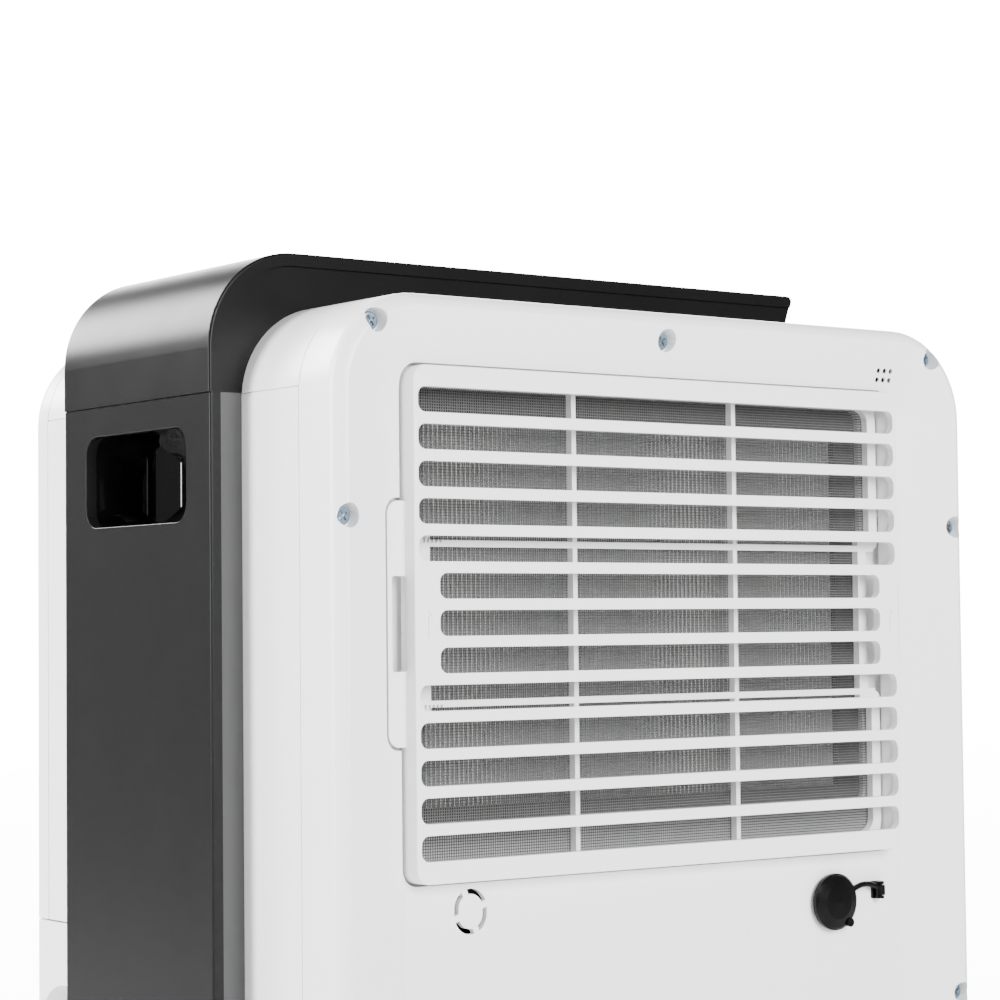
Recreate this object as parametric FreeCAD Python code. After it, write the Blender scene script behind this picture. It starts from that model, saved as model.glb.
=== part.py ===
import FreeCAD, Part

import math
import os

# A free-standing room dehumidifier on four casters.
# Millimetres, +Z up, rear (air inlet) towards +Y, water tank towards -Y.
# The dark ribbon covers the +X side and the top, so the white casing stands a little to -X.

Vec = FreeCAD.Vector
os.makedirs("parts", exist_ok=True)

# ---------------------------------------------------------------- overall sizes
WIDTH = 407.0
DEPTH = 283.0
HEIGHT = 615.0
REAR = DEPTH / 2
FRONT = -DEPTH / 2

WALL = 2.5                # moulded casing wall
SEAM_GAP = 0.6            # visible line between two mouldings
SEAM_DEPTH = 0.9
FREE = 0.5                # clearance beside a piece that is taken out
FIT = 0.05                # radial clearance of a pin, shaft or screw in its hole

# ---------------------------------------------------------------- casters and base
WHEEL_RADIUS = 11.0
WHEEL_WIDTH = 12.0
AXLE_RADIUS = 2.0
STEM_RADIUS = 4.0
FORK_CHEEK = 1.6
CROWN_THICKNESS = 2.4
SWIVEL_GAP = 0.6
CASTER_TRAIL = 7.0
BASE_HEIGHT = 14.0
CASTER_SIDE_INSET = 40.0
CASTER_END_INSET = 42.0

CROWN_BOTTOM = 2 * WHEEL_RADIUS + 1.0
BASE_BOTTOM = CROWN_BOTTOM + CROWN_THICKNESS + SWIVEL_GAP
BASE_TOP = BASE_BOTTOM + BASE_HEIGHT

# ---------------------------------------------------------------- white casing
RIBBON_SIDE_STANDOFF = 18.0
RIBBON_TOP_STANDOFF = 24.7
CASING_WIDTH = WIDTH - RIBBON_SIDE_STANDOFF
CASING_X = -RIBBON_SIDE_STANDOFF / 2
CASING_LEFT = CASING_X - CASING_WIDTH / 2
CASING_RIGHT = CASING_X + CASING_WIDTH / 2
CASING_TOP = HEIGHT - RIBBON_TOP_STANDOFF
CASING_BOTTOM = BASE_TOP
CASING_CORNER = 45.0
CASING_FOOT_CORNER = 12.0
COVER_EDGE = 8.0

REAR_SEAM = REAR - 0.1102 * DEPTH
FRONT_SEAM = FRONT + 0.0604 * DEPTH
TOP_SEAM = HEIGHT - 66.1

# ---------------------------------------------------------------- dark ribbon
RIBBON_REAR = REAR - 0.2724 * DEPTH
RIBBON_FRONT = FRONT + 0.2392 * DEPTH
RIBBON_SKIN = 6.0
RIBBON_CORNER = 46.0
RIBBON_EDGE = 1.2         # rounding of the rim's outer edge
RIBBON_STEP = 0.5         # the top cover stands this far proud of the side panel
RIBBON_RECESS = 1.5       # end walls sit this far behind the rim
RIBBON_END_WALL = 2.5
RIBBON_TIP = CASING_X - 0.380 * CASING_WIDTH
TIP_SLANT = 9.0
TIP_CORNER = 3.5

# ---------------------------------------------------------------- rear dish and filter
DISH_RIM = 5.0
DISH_SLOPE = 36.0
DISH_DEPTH = 10.0
DISH_Y = REAR - DISH_DEPTH
DISH_SKIN = 3.0

GRILLE_SHIFT = 4.5        # the filter stands this far to +X of the casing's middle
GRILLE_X = CASING_X + GRILLE_SHIFT
GRILLE_Z = HEIGHT - 172.0
GRILLE_WIDTH = 0.769 * CASING_WIDTH
GRILLE_HEIGHT = 230.0
GRILLE_CORNER = 7.0
GRILLE_DEPTH = 12.0
GRILLE_FACE = 4.0
GRILLE_WALL = 2.0
GRILLE_GAP = 1.5
GRILLE_SLOTS = 13
SLOT_PITCH = 0.07204 * GRILLE_HEIGHT
SLOT_HEIGHT = 0.05 * GRILLE_HEIGHT
SLOT_CORNER = 4.0
SLOT_MARGIN = 2.4
SLOT_FIRST = 0.067 * GRILLE_HEIGHT
ARROW_PAD = 13.5
ARROW_HEIGHT = 13.0
ARROW_DEPTH = 0.6

EAR_HEIGHT = 109.0
EAR_WIDTH = 9.6
EAR_CORNER = 6.0
EAR_THICKNESS = 4.5
FINGER_HEIGHT = 42.5
FINGER_WIDTH = 8.0

FRAME_THICKNESS = 4.0
FRAME_BAR = 5.6
FRAME_INSET = 3.0
FRAME_CORNER = 12.0
FRAME_JOG = 8.0
JOG_ROUND = 2.8
COMB_TEETH = 5
COMB_PITCH = 2.2
FRAME_WAIST = 36.0
FRAME_RIB = 2.5
MESH_THICKNESS = 0.6
POCKET_FLOOR = 2.5
POCKET_SKIRT = 2.5

GRILLE_BACK = REAR - GRILLE_DEPTH
FRAME_BACK = GRILLE_BACK - FRAME_THICKNESS
MESH_BACK = FRAME_BACK - MESH_THICKNESS
POCKET_Y = MESH_BACK - FREE
WINDOW_SIDE = 10.5        # the inlet window is this much smaller than the grille
WINDOW_TOP = 9.0
WINDOW_BOTTOM = 24.0

# ---------------------------------------------------------------- rear screws, ring, holes
SCREW_HEAD_RADIUS = 4.3
SCREW_HEAD_HEIGHT = 2.6
SCREW_SHANK_RADIUS = 2.0
SCREW_RECESS_RADIUS = 5.5
SCREW_RECESS_DEPTH = 9.0
SCREW_BOSS_RADIUS = 7.5
SCREW_TOP_INSET = 22.1
SCREW_TOP_DROP = 13.7
SCREW_SIDE_INSET = 6.8
SCREW_CROSS = 0.9

RING_X = CASING_X + 0.3037 * CASING_WIDTH
RING_Z = GRILLE_Z - 129.2
RING_WIDTH = 18.1
RING_HEIGHT = 20.5
RING_SLOT = 2.4
RING_BRIDGE = 3.0

SENSOR_X = CASING_X - 0.3652 * CASING_WIDTH
SENSOR_Z = GRILLE_Z + 124.0
SENSOR_HOLE_RADIUS = 1.3
SENSOR_PITCH_X = 4.2
SENSOR_PITCH_Z = 4.5
SENSOR_SKIN = 0.8         # thin skin around the air holes

# ---------------------------------------------------------------- drain and its plug
DRAIN_X = CASING_X - 0.2667 * CASING_WIDTH
DRAIN_Z = GRILLE_Z - 139.5
DRAIN_BORE = 8.0
DRAIN_WALL = 2.5
DRAIN_LENGTH = 30.0
DRAIN_PROUD = 1.0
PLUG_RADIUS = 14.0
PLUG_THICKNESS = 4.0
PLUG_DOME = 1.6
PLUG_STEM_RADIUS = 6.6
PLUG_STEM_LENGTH = 6.0
PLUG_LIFT = 0.4
STRAP_REACH = 17.0
STRAP_RISE = 4.0          # the pin's middle above the plug's middle
STRAP_ARCH = 3.5          # how far the strap bows up between plug and pin
STRAP_RADIUS = 1.4
STRAP_EYE_HEIGHT = 5.0
STRAP_PIN_RADIUS = 1.0
STRAP_EYE_RADIUS = 2.3
ANCHOR_GAP = 0.4
ANCHOR_LUG = 1.4
ANCHOR_STEM = 1.6

# ---------------------------------------------------------------- coils, tray and tank levels
COIL_WIDTH = 0.66 * CASING_WIDTH
COIL_TOP = GRILLE_Z + 93.0
COIL_BOTTOM = GRILLE_Z - 83.0
EVAPORATOR_DEPTH = 0.127 * DEPTH
CONDENSER_DEPTH = 0.115 * DEPTH
COIL_GAP = 0.02 * DEPTH
COIL_SETBACK = 6.0        # from the inlet window to the fins
SEAL_THICKNESS = 1.0
EVAPORATOR_REAR = POCKET_Y - POCKET_FLOOR - COIL_SETBACK
TRAY_REAR = POCKET_Y - POCKET_FLOOR - FREE
CONDENSER_REAR = EVAPORATOR_REAR - EVAPORATOR_DEPTH - COIL_GAP
EVAPORATOR_PITCH = 2.6
CONDENSER_PITCH = 5.2
FIN_THICKNESS = 0.4
TUBE_RADIUS = 4.0
TUBE_ROWS = 7
END_PLATE = 1.2

DECK_THICKNESS = 3.0
TANK_TOP = DRAIN_Z - 8.3
FRONT_COVER_BOTTOM = TANK_TOP + 0.8
DECK_BOTTOM = FRONT_COVER_BOTTOM + WALL
DECK_TOP = DECK_BOTTOM + DECK_THICKNESS
TRAY_BOTTOM = DRAIN_Z + DRAIN_BORE + DRAIN_WALL + 6.5
TRAY_HEIGHT = 20.0
TRAY_WALL = 2.0
TRAY_HALF_WIDTH = COIL_WIDTH / 2 + 12.0
TRAY_CHANNEL = 22.0
SPOUT_RADIUS = 7.0

BAFFLE_Y = CONDENSER_REAR - CONDENSER_DEPTH - 4.0
BAFFLE_THICKNESS = 2.5
SCROLL_DEPTH = 0.26 * DEPTH
SCROLL_WALL = 2.0
SCROLL_FRONT = BAFFLE_Y - SCROLL_DEPTH
SCROLL_FLOOR = TRAY_BOTTOM + TRAY_HEIGHT + 2.5
SCROLL_GROWTH = 1.28
SCROLL_START = 0.402 * (CASING_TOP - SCROLL_FLOOR)
SCROLL_END = SCROLL_START * SCROLL_GROWTH
FAN_X = CASING_X
FAN_Z = SCROLL_FLOOR + SCROLL_END
WHEEL_CLEAR = 12.0
FAN_RADIUS = SCROLL_START - WHEEL_CLEAR
FAN_BLADES = 32
SHAFT_RADIUS = 4.0
MOTOR_RADIUS = 44.0
MOTOR_LENGTH = 0.11 * DEPTH

PARTITION_FRONT = RIBBON_FRONT + 0.083 * DEPTH
PARTITION_THICKNESS = 2.5

# ---------------------------------------------------------------- water tank
TANK_BOTTOM = CASING_BOTTOM + 1.0
TANK_REAR = RIBBON_FRONT - 1.0
BUCKET_WALL = 2.2
BUCKET_SIDE_ROOM = 25.0
BUCKET_REAR = PARTITION_FRONT - 3.0
BUCKET_TOP = TANK_TOP - 6.0
LID_THICKNESS = 2.0
LID_HOLE_RADIUS = 18.0
GRIP_MARGIN = 6.0         # from the grip's edge to the tank front's edges
GRIP_RADIUS = (TANK_REAR - FRONT) / 2 - GRIP_MARGIN
GRIP_Y = (TANK_REAR + FRONT) / 2
GRIP_STRAIGHT = 8.0       # upright straight part between the grip's two half rounds
GRIP_DEPTH = 15.0
GRIP_TOP = TANK_TOP - 31.0
LEVEL_WIDTH = 12.0
FLOAT_AXLE = 2.0
FLOAT_ARM = 30.0

# ---------------------------------------------------------------- handles, outlet, controls
POCKET_WALL = 2.0
HANDLE_LENGTH = 0.684 * (RIBBON_REAR - RIBBON_FRONT)
HANDLE_HEIGHT = 43.8
HANDLE_CORNER = 9.5
HANDLE_Z = GRILLE_Z + 69.7
HANDLE_Y = (RIBBON_REAR + RIBBON_FRONT) / 2
HANDLE_DEPTH = 48.5
HANDLE_SWEEP_Z = 18.0      # rounding of the pocket's floor and roof
HANDLE_SWEEP_Y = 18.0      # rounding of its two ends
HANDLE_LIP = 0.4

BLADES = 4
BLADE_PIN_RADIUS = 1.5
BLADE_THICKNESS = 2.0
OUTLET_WALL = 3.0
OUTLET_DEPTH = 16.0
OUTLET_REAR = BAFFLE_Y - BAFFLE_THICKNESS
OUTLET_FRONT = SCROLL_FRONT + SCROLL_WALL
OUTLET_BOTTOM = SCROLL_FLOOR + SCROLL_WALL
OUTLET_HEIGHT = 96.0
OUTLET_LIP = 5.0
OUTLET_FLANGE = 1.2

PANEL_WIDTH = 0.63 * CASING_WIDTH
PANEL_HEIGHT = 52.0
PANEL_Z = CASING_TOP - 62.0
PANEL_CORNER = 6.0
PANEL_THICKNESS = 2.0
PANEL_RECESS = 1.0
BUTTONS = 5
BUTTON_RADIUS = 6.0
BUTTON_GAP = 0.4
BUTTON_TRAVEL = 1.0
BUTTON_PROUD = 0.7
DISPLAY_WIDTH = 46.0
DISPLAY_HEIGHT = 26.0

# ---------------------------------------------------------------- compressor bay
COMPRESSOR_RADIUS = 0.155 * CASING_WIDTH
COMPRESSOR_X = CASING_X + 0.17 * CASING_WIDTH
COMPRESSOR_Y = (REAR_SEAM + PARTITION_FRONT) / 2
BAY_FLOOR = CASING_BOTTOM + WALL
FOOT_HEIGHT = 12.0
FOOT_RADIUS = 9.0
FOOT_PLATE = 3.0
COMPRESSOR_TOP = BAY_FLOOR + 0.72 * (TRAY_BOTTOM - BAY_FLOOR)
INLET_RADIUS = 11.0
INLET_Z = CASING_BOTTOM + 60.0


# ================================================================ helpers
def box(x0, x1, y0, y1, z0, z1):
    """Block between two corners."""
    return Part.makeBox(x1 - x0, y1 - y0, z1 - z0, Vec(x0, y0, z0))


def rod_x(radius, x0, x1, y, z):
    """Cylinder along X."""
    return Part.makeCylinder(radius, x1 - x0, Vec(x0, y, z), Vec(1, 0, 0))


def rod_y(radius, x, y0, y1, z):
    """Cylinder along Y."""
    return Part.makeCylinder(radius, y1 - y0, Vec(x, y0, z), Vec(0, 1, 0))


def rod_z(radius, x, y, z0, z1):
    """Cylinder along Z."""
    return Part.makeCylinder(radius, z1 - z0, Vec(x, y, z0), Vec(0, 0, 1))


def corner_arc(centre_x, centre_z, radius, y, start_deg):
    """Quarter circle in an XZ plane, running anticlockwise from start_deg."""
    points = []
    for turn in (0, 45, 90):
        angle = math.radians(start_deg + turn)
        points.append(Vec(centre_x + radius * math.cos(angle), y, centre_z + radius * math.sin(angle)))
    return Part.Arc(*points).toShape()


def round_outline(x0, x1, z0, z1, top_radius, foot_radius, y):
    """Closed wire of a rectangle in an XZ plane with rounded corners."""
    line = Part.makeLine
    edges = [
        corner_arc(x1 - top_radius, z1 - top_radius, top_radius, y, 0),
        line(Vec(x1 - top_radius, y, z1), Vec(x0 + top_radius, y, z1)),
        corner_arc(x0 + top_radius, z1 - top_radius, top_radius, y, 90),
        line(Vec(x0, y, z1 - top_radius), Vec(x0, y, z0 + foot_radius)),
        corner_arc(x0 + foot_radius, z0 + foot_radius, foot_radius, y, 180),
        line(Vec(x0 + foot_radius, y, z0), Vec(x1 - foot_radius, y, z0)),
        corner_arc(x1 - foot_radius, z0 + foot_radius, foot_radius, y, 270),
        line(Vec(x1, y, z0 + foot_radius), Vec(x1, y, z1 - top_radius)),
    ]
    return Part.Wire(edges)


def round_block(x0, x1, z0, z1, radius, y0, y1):
    """Rounded rectangle in XZ, solid from y0 to y1."""
    face = Part.Face(round_outline(x0, x1, z0, z1, radius, radius, y0))
    return face.extrude(Vec(0, y1 - y0, 0))


def side_block(y0, y1, z0, z1, radius, x0, x1):
    """Rounded rectangle in YZ, solid from x0 to x1."""
    block = round_block(-y1, -y0, z0, z1, radius, x0, x1)
    block.rotate(Vec(0, 0, 0), Vec(0, 0, 1), -90)
    return block


def casing_outline(inset, y):
    """Outline of the white casing, drawn in by a given amount."""
    return round_outline(
        CASING_LEFT + inset,
        CASING_RIGHT - inset,
        CASING_BOTTOM + inset,
        CASING_TOP - inset,
        max(CASING_CORNER - inset, 4.0),
        max(CASING_FOOT_CORNER - inset, 3.0),
        y,
    )


def casing_slab(inset, y0, y1):
    """Solid slab with the casing's outline."""
    return Part.Face(casing_outline(inset, y0)).extrude(Vec(0, y1 - y0, 0))


def casing_ring(outer_inset, inner_inset, y0, y1):
    """Closed band between two casing outlines."""
    return casing_slab(outer_inset, y0, y1).cut(casing_slab(inner_inset, y0 - 1, y1 + 1))


def edges_at_y(shape, y):
    """Edges that lie in the plane at y."""
    return [e for e in shape.Edges if all(abs(v.Y - y) < 1e-6 for v in e.Vertexes)]


def fused(pieces):
    """One solid out of touching pieces."""
    shape = pieces[0]
    if len(pieces) > 1:
        shape = pieces[0].multiFuse(pieces[1:])
    return shape.removeSplitter()


def revolve_y(profile, x, z):
    """Turn (radius, y) points about a Y axis through (x, z)."""
    points = [Vec(x + radius, y, z) for radius, y in profile]
    face = Part.Face(Part.makePolygon(points + [points[0]]))
    return face.revolve(Vec(x, 0, z), Vec(0, 1, 0), 360)


def revolve_z(profile, x, y):
    """Turn (radius, z) points about a Z axis through (x, y)."""
    points = [Vec(x + radius, y, z) for radius, z in profile]
    face = Part.Face(Part.makePolygon(points + [points[0]]))
    return face.revolve(Vec(x, y, 0), Vec(0, 0, 1), 360)


def half_ring_x(radius, tube, x, y, z, towards):
    """Half torus in an XZ plane that joins two X tubes one above the other."""
    ring = Part.makeTorus(radius, tube, Vec(x, y, z), Vec(0, 1, 0))
    reach = radius + tube + 1
    side = box(x, x + reach, y - reach, y + reach, z - reach, z + reach)
    if towards < 0:
        side.translate(Vec(-reach, 0, 0))
    return ring.common(side)


def save(name, shape):
    """Write one piece as its own STEP file."""
    if not shape.isValid():
        raise ValueError("invalid shape: " + name)
    shape.exportStep("parts/" + name + ".step")


# ================================================================ rear cover
def screw_places():
    """Rear cover screws as (x, z)."""
    side = CASING_WIDTH / 2 - SCREW_SIDE_INSET
    row = CASING_WIDTH / 2 - SCREW_TOP_INSET
    top = CASING_TOP - SCREW_TOP_DROP
    foot = CASING_BOTTOM + SCREW_TOP_DROP
    middle = GRILLE_Z + 47.4
    low = (foot + middle) / 2 - 20.0
    places = [(GRILLE_X, top), (GRILLE_X, foot)]
    for sign in (-1, 1):
        places.append((CASING_X + sign * row, top))
        places.append((CASING_X + sign * row, foot))
        places.append((CASING_X + sign * side, middle))
        places.append((CASING_X + sign * side, low))
    return places


def screw_seat():
    """Plane that the screw heads sit on, below the rim."""
    return REAR - SCREW_RECESS_DEPTH


def dish_cutter(shift):
    """The sloping border and flat floor of the rear dish, moved inwards by shift."""
    rim = casing_outline(DISH_RIM, REAR - shift)
    floor = casing_outline(DISH_RIM + DISH_SLOPE, DISH_Y - shift)
    return Part.makeLoft([floor, rim], True, True)


def filter_pocket_shape(margin, y0, y1):
    """Plan of the filter grille with its two ears, grown by a margin."""
    half = GRILLE_WIDTH / 2 + margin
    body = round_block(
        GRILLE_X - half, GRILLE_X + half,
        GRILLE_Z - GRILLE_HEIGHT / 2 - margin, GRILLE_Z + GRILLE_HEIGHT / 2 + margin,
        GRILLE_CORNER + margin, y0, y1)
    reach = half + EAR_WIDTH
    ears = round_block(
        GRILLE_X - reach, GRILLE_X + reach,
        GRILLE_Z - EAR_HEIGHT / 2 - margin, GRILLE_Z + EAR_HEIGHT / 2 + margin,
        EAR_CORNER + margin, y0, y1)
    return body.fuse(ears)


def inlet_window(y0, y1):
    """Opening between the filter and the coil."""
    half = GRILLE_WIDTH / 2 - WINDOW_SIDE
    return round_block(
        GRILLE_X - half, GRILLE_X + half,
        GRILLE_Z - GRILLE_HEIGHT / 2 + WINDOW_BOTTOM, GRILLE_Z + GRILLE_HEIGHT / 2 - WINDOW_TOP,
        5.0, y0, y1)


def knock_out_ring():
    """Four curved slots around a cable knock-out."""
    def oval(width, height):
        straight = (height - width) / 2
        pieces = [
            rod_y(width / 2, RING_X, DISH_Y - 6, DISH_Y + 2, RING_Z - straight),
            rod_y(width / 2, RING_X, DISH_Y - 6, DISH_Y + 2, RING_Z + straight),
            box(RING_X - width / 2, RING_X + width / 2, DISH_Y - 6, DISH_Y + 2,
                RING_Z - straight, RING_Z + straight),
        ]
        return fused(pieces)

    ring = oval(RING_WIDTH, RING_HEIGHT).cut(oval(RING_WIDTH - 2 * RING_SLOT, RING_HEIGHT - 2 * RING_SLOT))
    for tilt in (20, 110):
        bridge = box(-RING_HEIGHT, RING_HEIGHT, DISH_Y - 8, DISH_Y + 4, -RING_BRIDGE / 2, RING_BRIDGE / 2)
        bridge.rotate(Vec(0, 0, 0), Vec(0, 1, 0), tilt)
        bridge.translate(Vec(RING_X, 0, RING_Z))
        ring = ring.cut(bridge)
    return ring


def rear_cover():
    shell = casing_slab(0, REAR_SEAM, REAR)
    shell = shell.makeFillet(COVER_EDGE, edges_at_y(shell, REAR))
    block = shell.copy()
    cavity = casing_slab(WALL, REAR_SEAM, REAR - DISH_SKIN)
    keep = dish_cutter(DISH_SKIN)
    shell = shell.cut(cavity.cut(keep))
    pocket = filter_pocket_shape(GRILLE_GAP + POCKET_SKIRT, POCKET_Y - POCKET_FLOOR, DISH_Y)
    shell = shell.fuse(pocket)
    for x, z in screw_places():
        boss = rod_y(SCREW_BOSS_RADIUS, x, REAR_SEAM, REAR, z)
        shell = shell.fuse(boss.common(block))
    shell = shell.cut(dish_cutter(0))
    shell = shell.cut(filter_pocket_shape(GRILLE_GAP, POCKET_Y, REAR + 1))
    shell = shell.cut(inlet_window(POCKET_Y - POCKET_FLOOR - 1, POCKET_Y + 1))
    for x, z in screw_places():
        shell = shell.cut(rod_y(SCREW_RECESS_RADIUS, x, screw_seat(), REAR + 1, z))
        shell = shell.cut(rod_y(SCREW_SHANK_RADIUS + FIT, x, REAR_SEAM - 1, REAR, z))
    shell = shell.cut(knock_out_ring())
    behind_holes = box(SENSOR_X - 6, SENSOR_X + 6, REAR_SEAM, REAR, SENSOR_Z - 5, SENSOR_Z + 5)
    shell = shell.cut(behind_holes.cut(dish_cutter(SENSOR_SKIN)))
    for column in (-1, 0, 1):
        for row in (-0.5, 0.5):
            x = SENSOR_X + column * SENSOR_PITCH_X
            z = SENSOR_Z + row * SENSOR_PITCH_Z
            shell = shell.cut(rod_y(SENSOR_HOLE_RADIUS, x, DISH_Y - 6, REAR + 1, z))
    shell = shell.cut(rod_y(DRAIN_BORE + DRAIN_WALL, DRAIN_X, REAR_SEAM, REAR, DRAIN_Z))
    shell = shell.cut(rod_y(ANCHOR_STEM, strap_anchor_x(), REAR_SEAM, REAR, DRAIN_Z + STRAP_RISE))
    shell = shell.cut(rod_y(INLET_RADIUS - 3, RING_X, REAR_SEAM, REAR, INLET_Z))
    groove = casing_ring(-1, SEAM_DEPTH, REAR_SEAM, REAR_SEAM + SEAM_GAP)
    return shell.cut(groove).removeSplitter()


def rear_screws():
    screws = []
    for x, z in screw_places():
        seat = screw_seat()
        head = rod_y(SCREW_HEAD_RADIUS, x, seat, seat + SCREW_HEAD_HEIGHT, z)
        head = head.makeFillet(1.2, edges_at_y(head, seat + SCREW_HEAD_HEIGHT))
        shank = rod_y(SCREW_SHANK_RADIUS, x, REAR_SEAM + 1, seat, z)
        screw = fused([head, shank])
        for turn in (35, 125):
            bar = box(-2.6, 2.6, seat + SCREW_HEAD_HEIGHT - 1.4, seat + SCREW_HEAD_HEIGHT + 1,
                      -SCREW_CROSS / 2, SCREW_CROSS / 2)
            bar.rotate(Vec(0, 0, 0), Vec(0, 1, 0), turn)
            bar.translate(Vec(x, 0, z))
            screw = screw.cut(bar)
        screws.append(screw)
    return Part.makeCompound(screws)


# ================================================================ casing
def bulkhead():
    """Floor over the tank, wall behind it, and a cross bar on two rails that carries the drip tray."""
    rear = PARTITION_FRONT + PARTITION_THICKNESS
    bar_y = CONDENSER_REAR
    inside = casing_slab(WALL, FRONT_SEAM, bar_y + 9)
    deck = box(CASING_LEFT, CASING_RIGHT, FRONT_SEAM, PARTITION_FRONT + 0.5, DECK_BOTTOM, DECK_TOP)
    wall = box(CASING_LEFT, CASING_RIGHT, PARTITION_FRONT, rear, CASING_BOTTOM, TRAY_BOTTOM)
    bar = box(CASING_LEFT, CASING_RIGHT, bar_y - 5, bar_y + 9, TRAY_BOTTOM - 6, TRAY_BOTTOM)
    rails = []
    for sign in (-1, 1):
        x = GRILLE_X + sign * (TRAY_HALF_WIDTH - 12)
        rails.append(box(x - 4, x + 4, PARTITION_FRONT + 1, bar_y, TRAY_BOTTOM - 6, TRAY_BOTTOM))
    plate = fused([deck, wall, bar] + rails).common(inside)
    spout_x, spout_y = spout_place()
    plate = plate.cut(rod_z(SPOUT_RADIUS + 1.0, spout_x, spout_y, DECK_BOTTOM - 1, DECK_TOP + 1))
    return plate.removeSplitter()


def handle_mouth(x0, x1):
    """Hole that the fingers go through."""
    return side_block(
        HANDLE_Y - HANDLE_LENGTH / 2, HANDLE_Y + HANDLE_LENGTH / 2,
        HANDLE_Z - HANDLE_HEIGHT / 2, HANDLE_Z + HANDLE_HEIGHT / 2,
        HANDLE_CORNER, x0, x1)


def handle_cutout(x0, x1):
    """Hole that a handle pocket fits in."""
    return side_block(
        HANDLE_Y - HANDLE_LENGTH / 2 - POCKET_WALL, HANDLE_Y + HANDLE_LENGTH / 2 + POCKET_WALL,
        HANDLE_Z - HANDLE_HEIGHT / 2 - POCKET_WALL, HANDLE_Z + HANDLE_HEIGHT / 2 + POCKET_WALL,
        HANDLE_CORNER + POCKET_WALL, x0, x1)


def outlet_block(margin, x0, x1):
    """Plan of the outlet frame on the -X side, grown by a margin."""
    return side_block(
        OUTLET_FRONT - margin, OUTLET_REAR + margin,
        OUTLET_BOTTOM - margin, OUTLET_BOTTOM + OUTLET_HEIGHT + margin,
        max(4.0 + margin, 2.0), x0, x1)


def cabinet():
    ring = casing_ring(0, WALL, FRONT_SEAM, REAR_SEAM)
    above = box(CASING_LEFT - 5, CASING_RIGHT + 5, FRONT_SEAM - 5, REAR_SEAM + 5, TOP_SEAM, HEIGHT)
    tank_bay = box(CASING_LEFT - 5, CASING_RIGHT + 5, FRONT_SEAM - 5, RIBBON_FRONT, 0, FRONT_COVER_BOTTOM)
    shell = ring.cut(above).cut(tank_bay)
    shell = shell.cut(handle_cutout(CASING_X, CASING_RIGHT + 1))
    shell = shell.cut(handle_mouth(CASING_LEFT - 1, CASING_X))
    shell = shell.cut(outlet_block(0, CASING_LEFT - 1, CASING_LEFT + OUTLET_DEPTH))
    shell = shell.cut(outlet_block(OUTLET_LIP, CASING_LEFT - 1, CASING_LEFT + OUTLET_FLANGE))
    line = box(CASING_LEFT - 5, CASING_RIGHT + 5, FRONT_SEAM - 5, REAR_SEAM + 5, TOP_SEAM - SEAM_GAP, TOP_SEAM)
    groove = casing_ring(-1, SEAM_DEPTH, FRONT_SEAM - 1, REAR_SEAM + 1).common(line)
    return shell.cut(groove).removeSplitter()


def top_shell():
    ring = casing_ring(0, WALL, FRONT_SEAM, REAR_SEAM)
    below = box(CASING_LEFT - 5, CASING_RIGHT + 5, FRONT_SEAM - 5, REAR_SEAM + 5, 0, TOP_SEAM)
    return ring.cut(below).removeSplitter()


def base_frame():
    inset = 1.0
    left = CASING_LEFT + CASING_FOOT_CORNER
    right = CASING_RIGHT - CASING_FOOT_CORNER
    tray = box(left, right, FRONT + 6, REAR - 6, BASE_BOTTOM, BASE_TOP)
    hollow = box(left + 3, right - 3, FRONT + 9, REAR - 9, BASE_BOTTOM + 3, BASE_TOP + inset)
    frame = tray.cut(hollow)
    rib = box(left + 1, right - 1, PARTITION_FRONT - 4, PARTITION_FRONT + 6, BASE_BOTTOM + 1, BASE_TOP)
    frame = frame.fuse(rib)
    for x, y in caster_places():
        frame = frame.fuse(rod_z(STEM_RADIUS + 5, x, y, BASE_BOTTOM, BASE_TOP))
    for x, y in caster_places():
        frame = frame.cut(rod_z(STEM_RADIUS + FIT, x, y, BASE_BOTTOM - 1, BASE_TOP + 1))
    return frame.removeSplitter()


def front_cover():
    shell = casing_slab(0, FRONT, FRONT_SEAM)
    shell = shell.makeFillet(COVER_EDGE, edges_at_y(shell, FRONT))
    below = box(CASING_LEFT - 5, CASING_RIGHT + 5, FRONT - 5, FRONT_SEAM + 5, 0, FRONT_COVER_BOTTOM)
    shell = shell.cut(below)
    cavity = casing_slab(WALL, FRONT + WALL, FRONT_SEAM + 1)
    low = box(CASING_LEFT - 5, CASING_RIGHT + 5, FRONT - 5, FRONT_SEAM + 5, 0, FRONT_COVER_BOTTOM + WALL)
    shell = shell.cut(cavity.cut(low))
    back = box(
        CASING_X - PANEL_WIDTH / 2 - 4, CASING_X + PANEL_WIDTH / 2 + 4,
        FRONT + WALL - 0.5, FRONT + PANEL_RECESS + PANEL_THICKNESS + 2.5,
        PANEL_Z - PANEL_HEIGHT / 2 - 4, PANEL_Z + PANEL_HEIGHT / 2 + 4)
    shell = shell.fuse(back)
    shell = shell.cut(panel_plate(0.0, FRONT - 1, FRONT + PANEL_RECESS + PANEL_THICKNESS))
    for x in button_places():
        shell = shell.cut(rod_y(BUTTON_RADIUS - 1.5, x, FRONT - 1, FRONT + 12, PANEL_Z))
    for x, z in board_posts():
        shell = shell.fuse(rod_y(3.0, x, FRONT + PANEL_RECESS + PANEL_THICKNESS, board_y(), z))
    groove = casing_ring(-1, SEAM_DEPTH, FRONT_SEAM - SEAM_GAP, FRONT_SEAM)
    return shell.cut(groove).removeSplitter()


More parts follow.
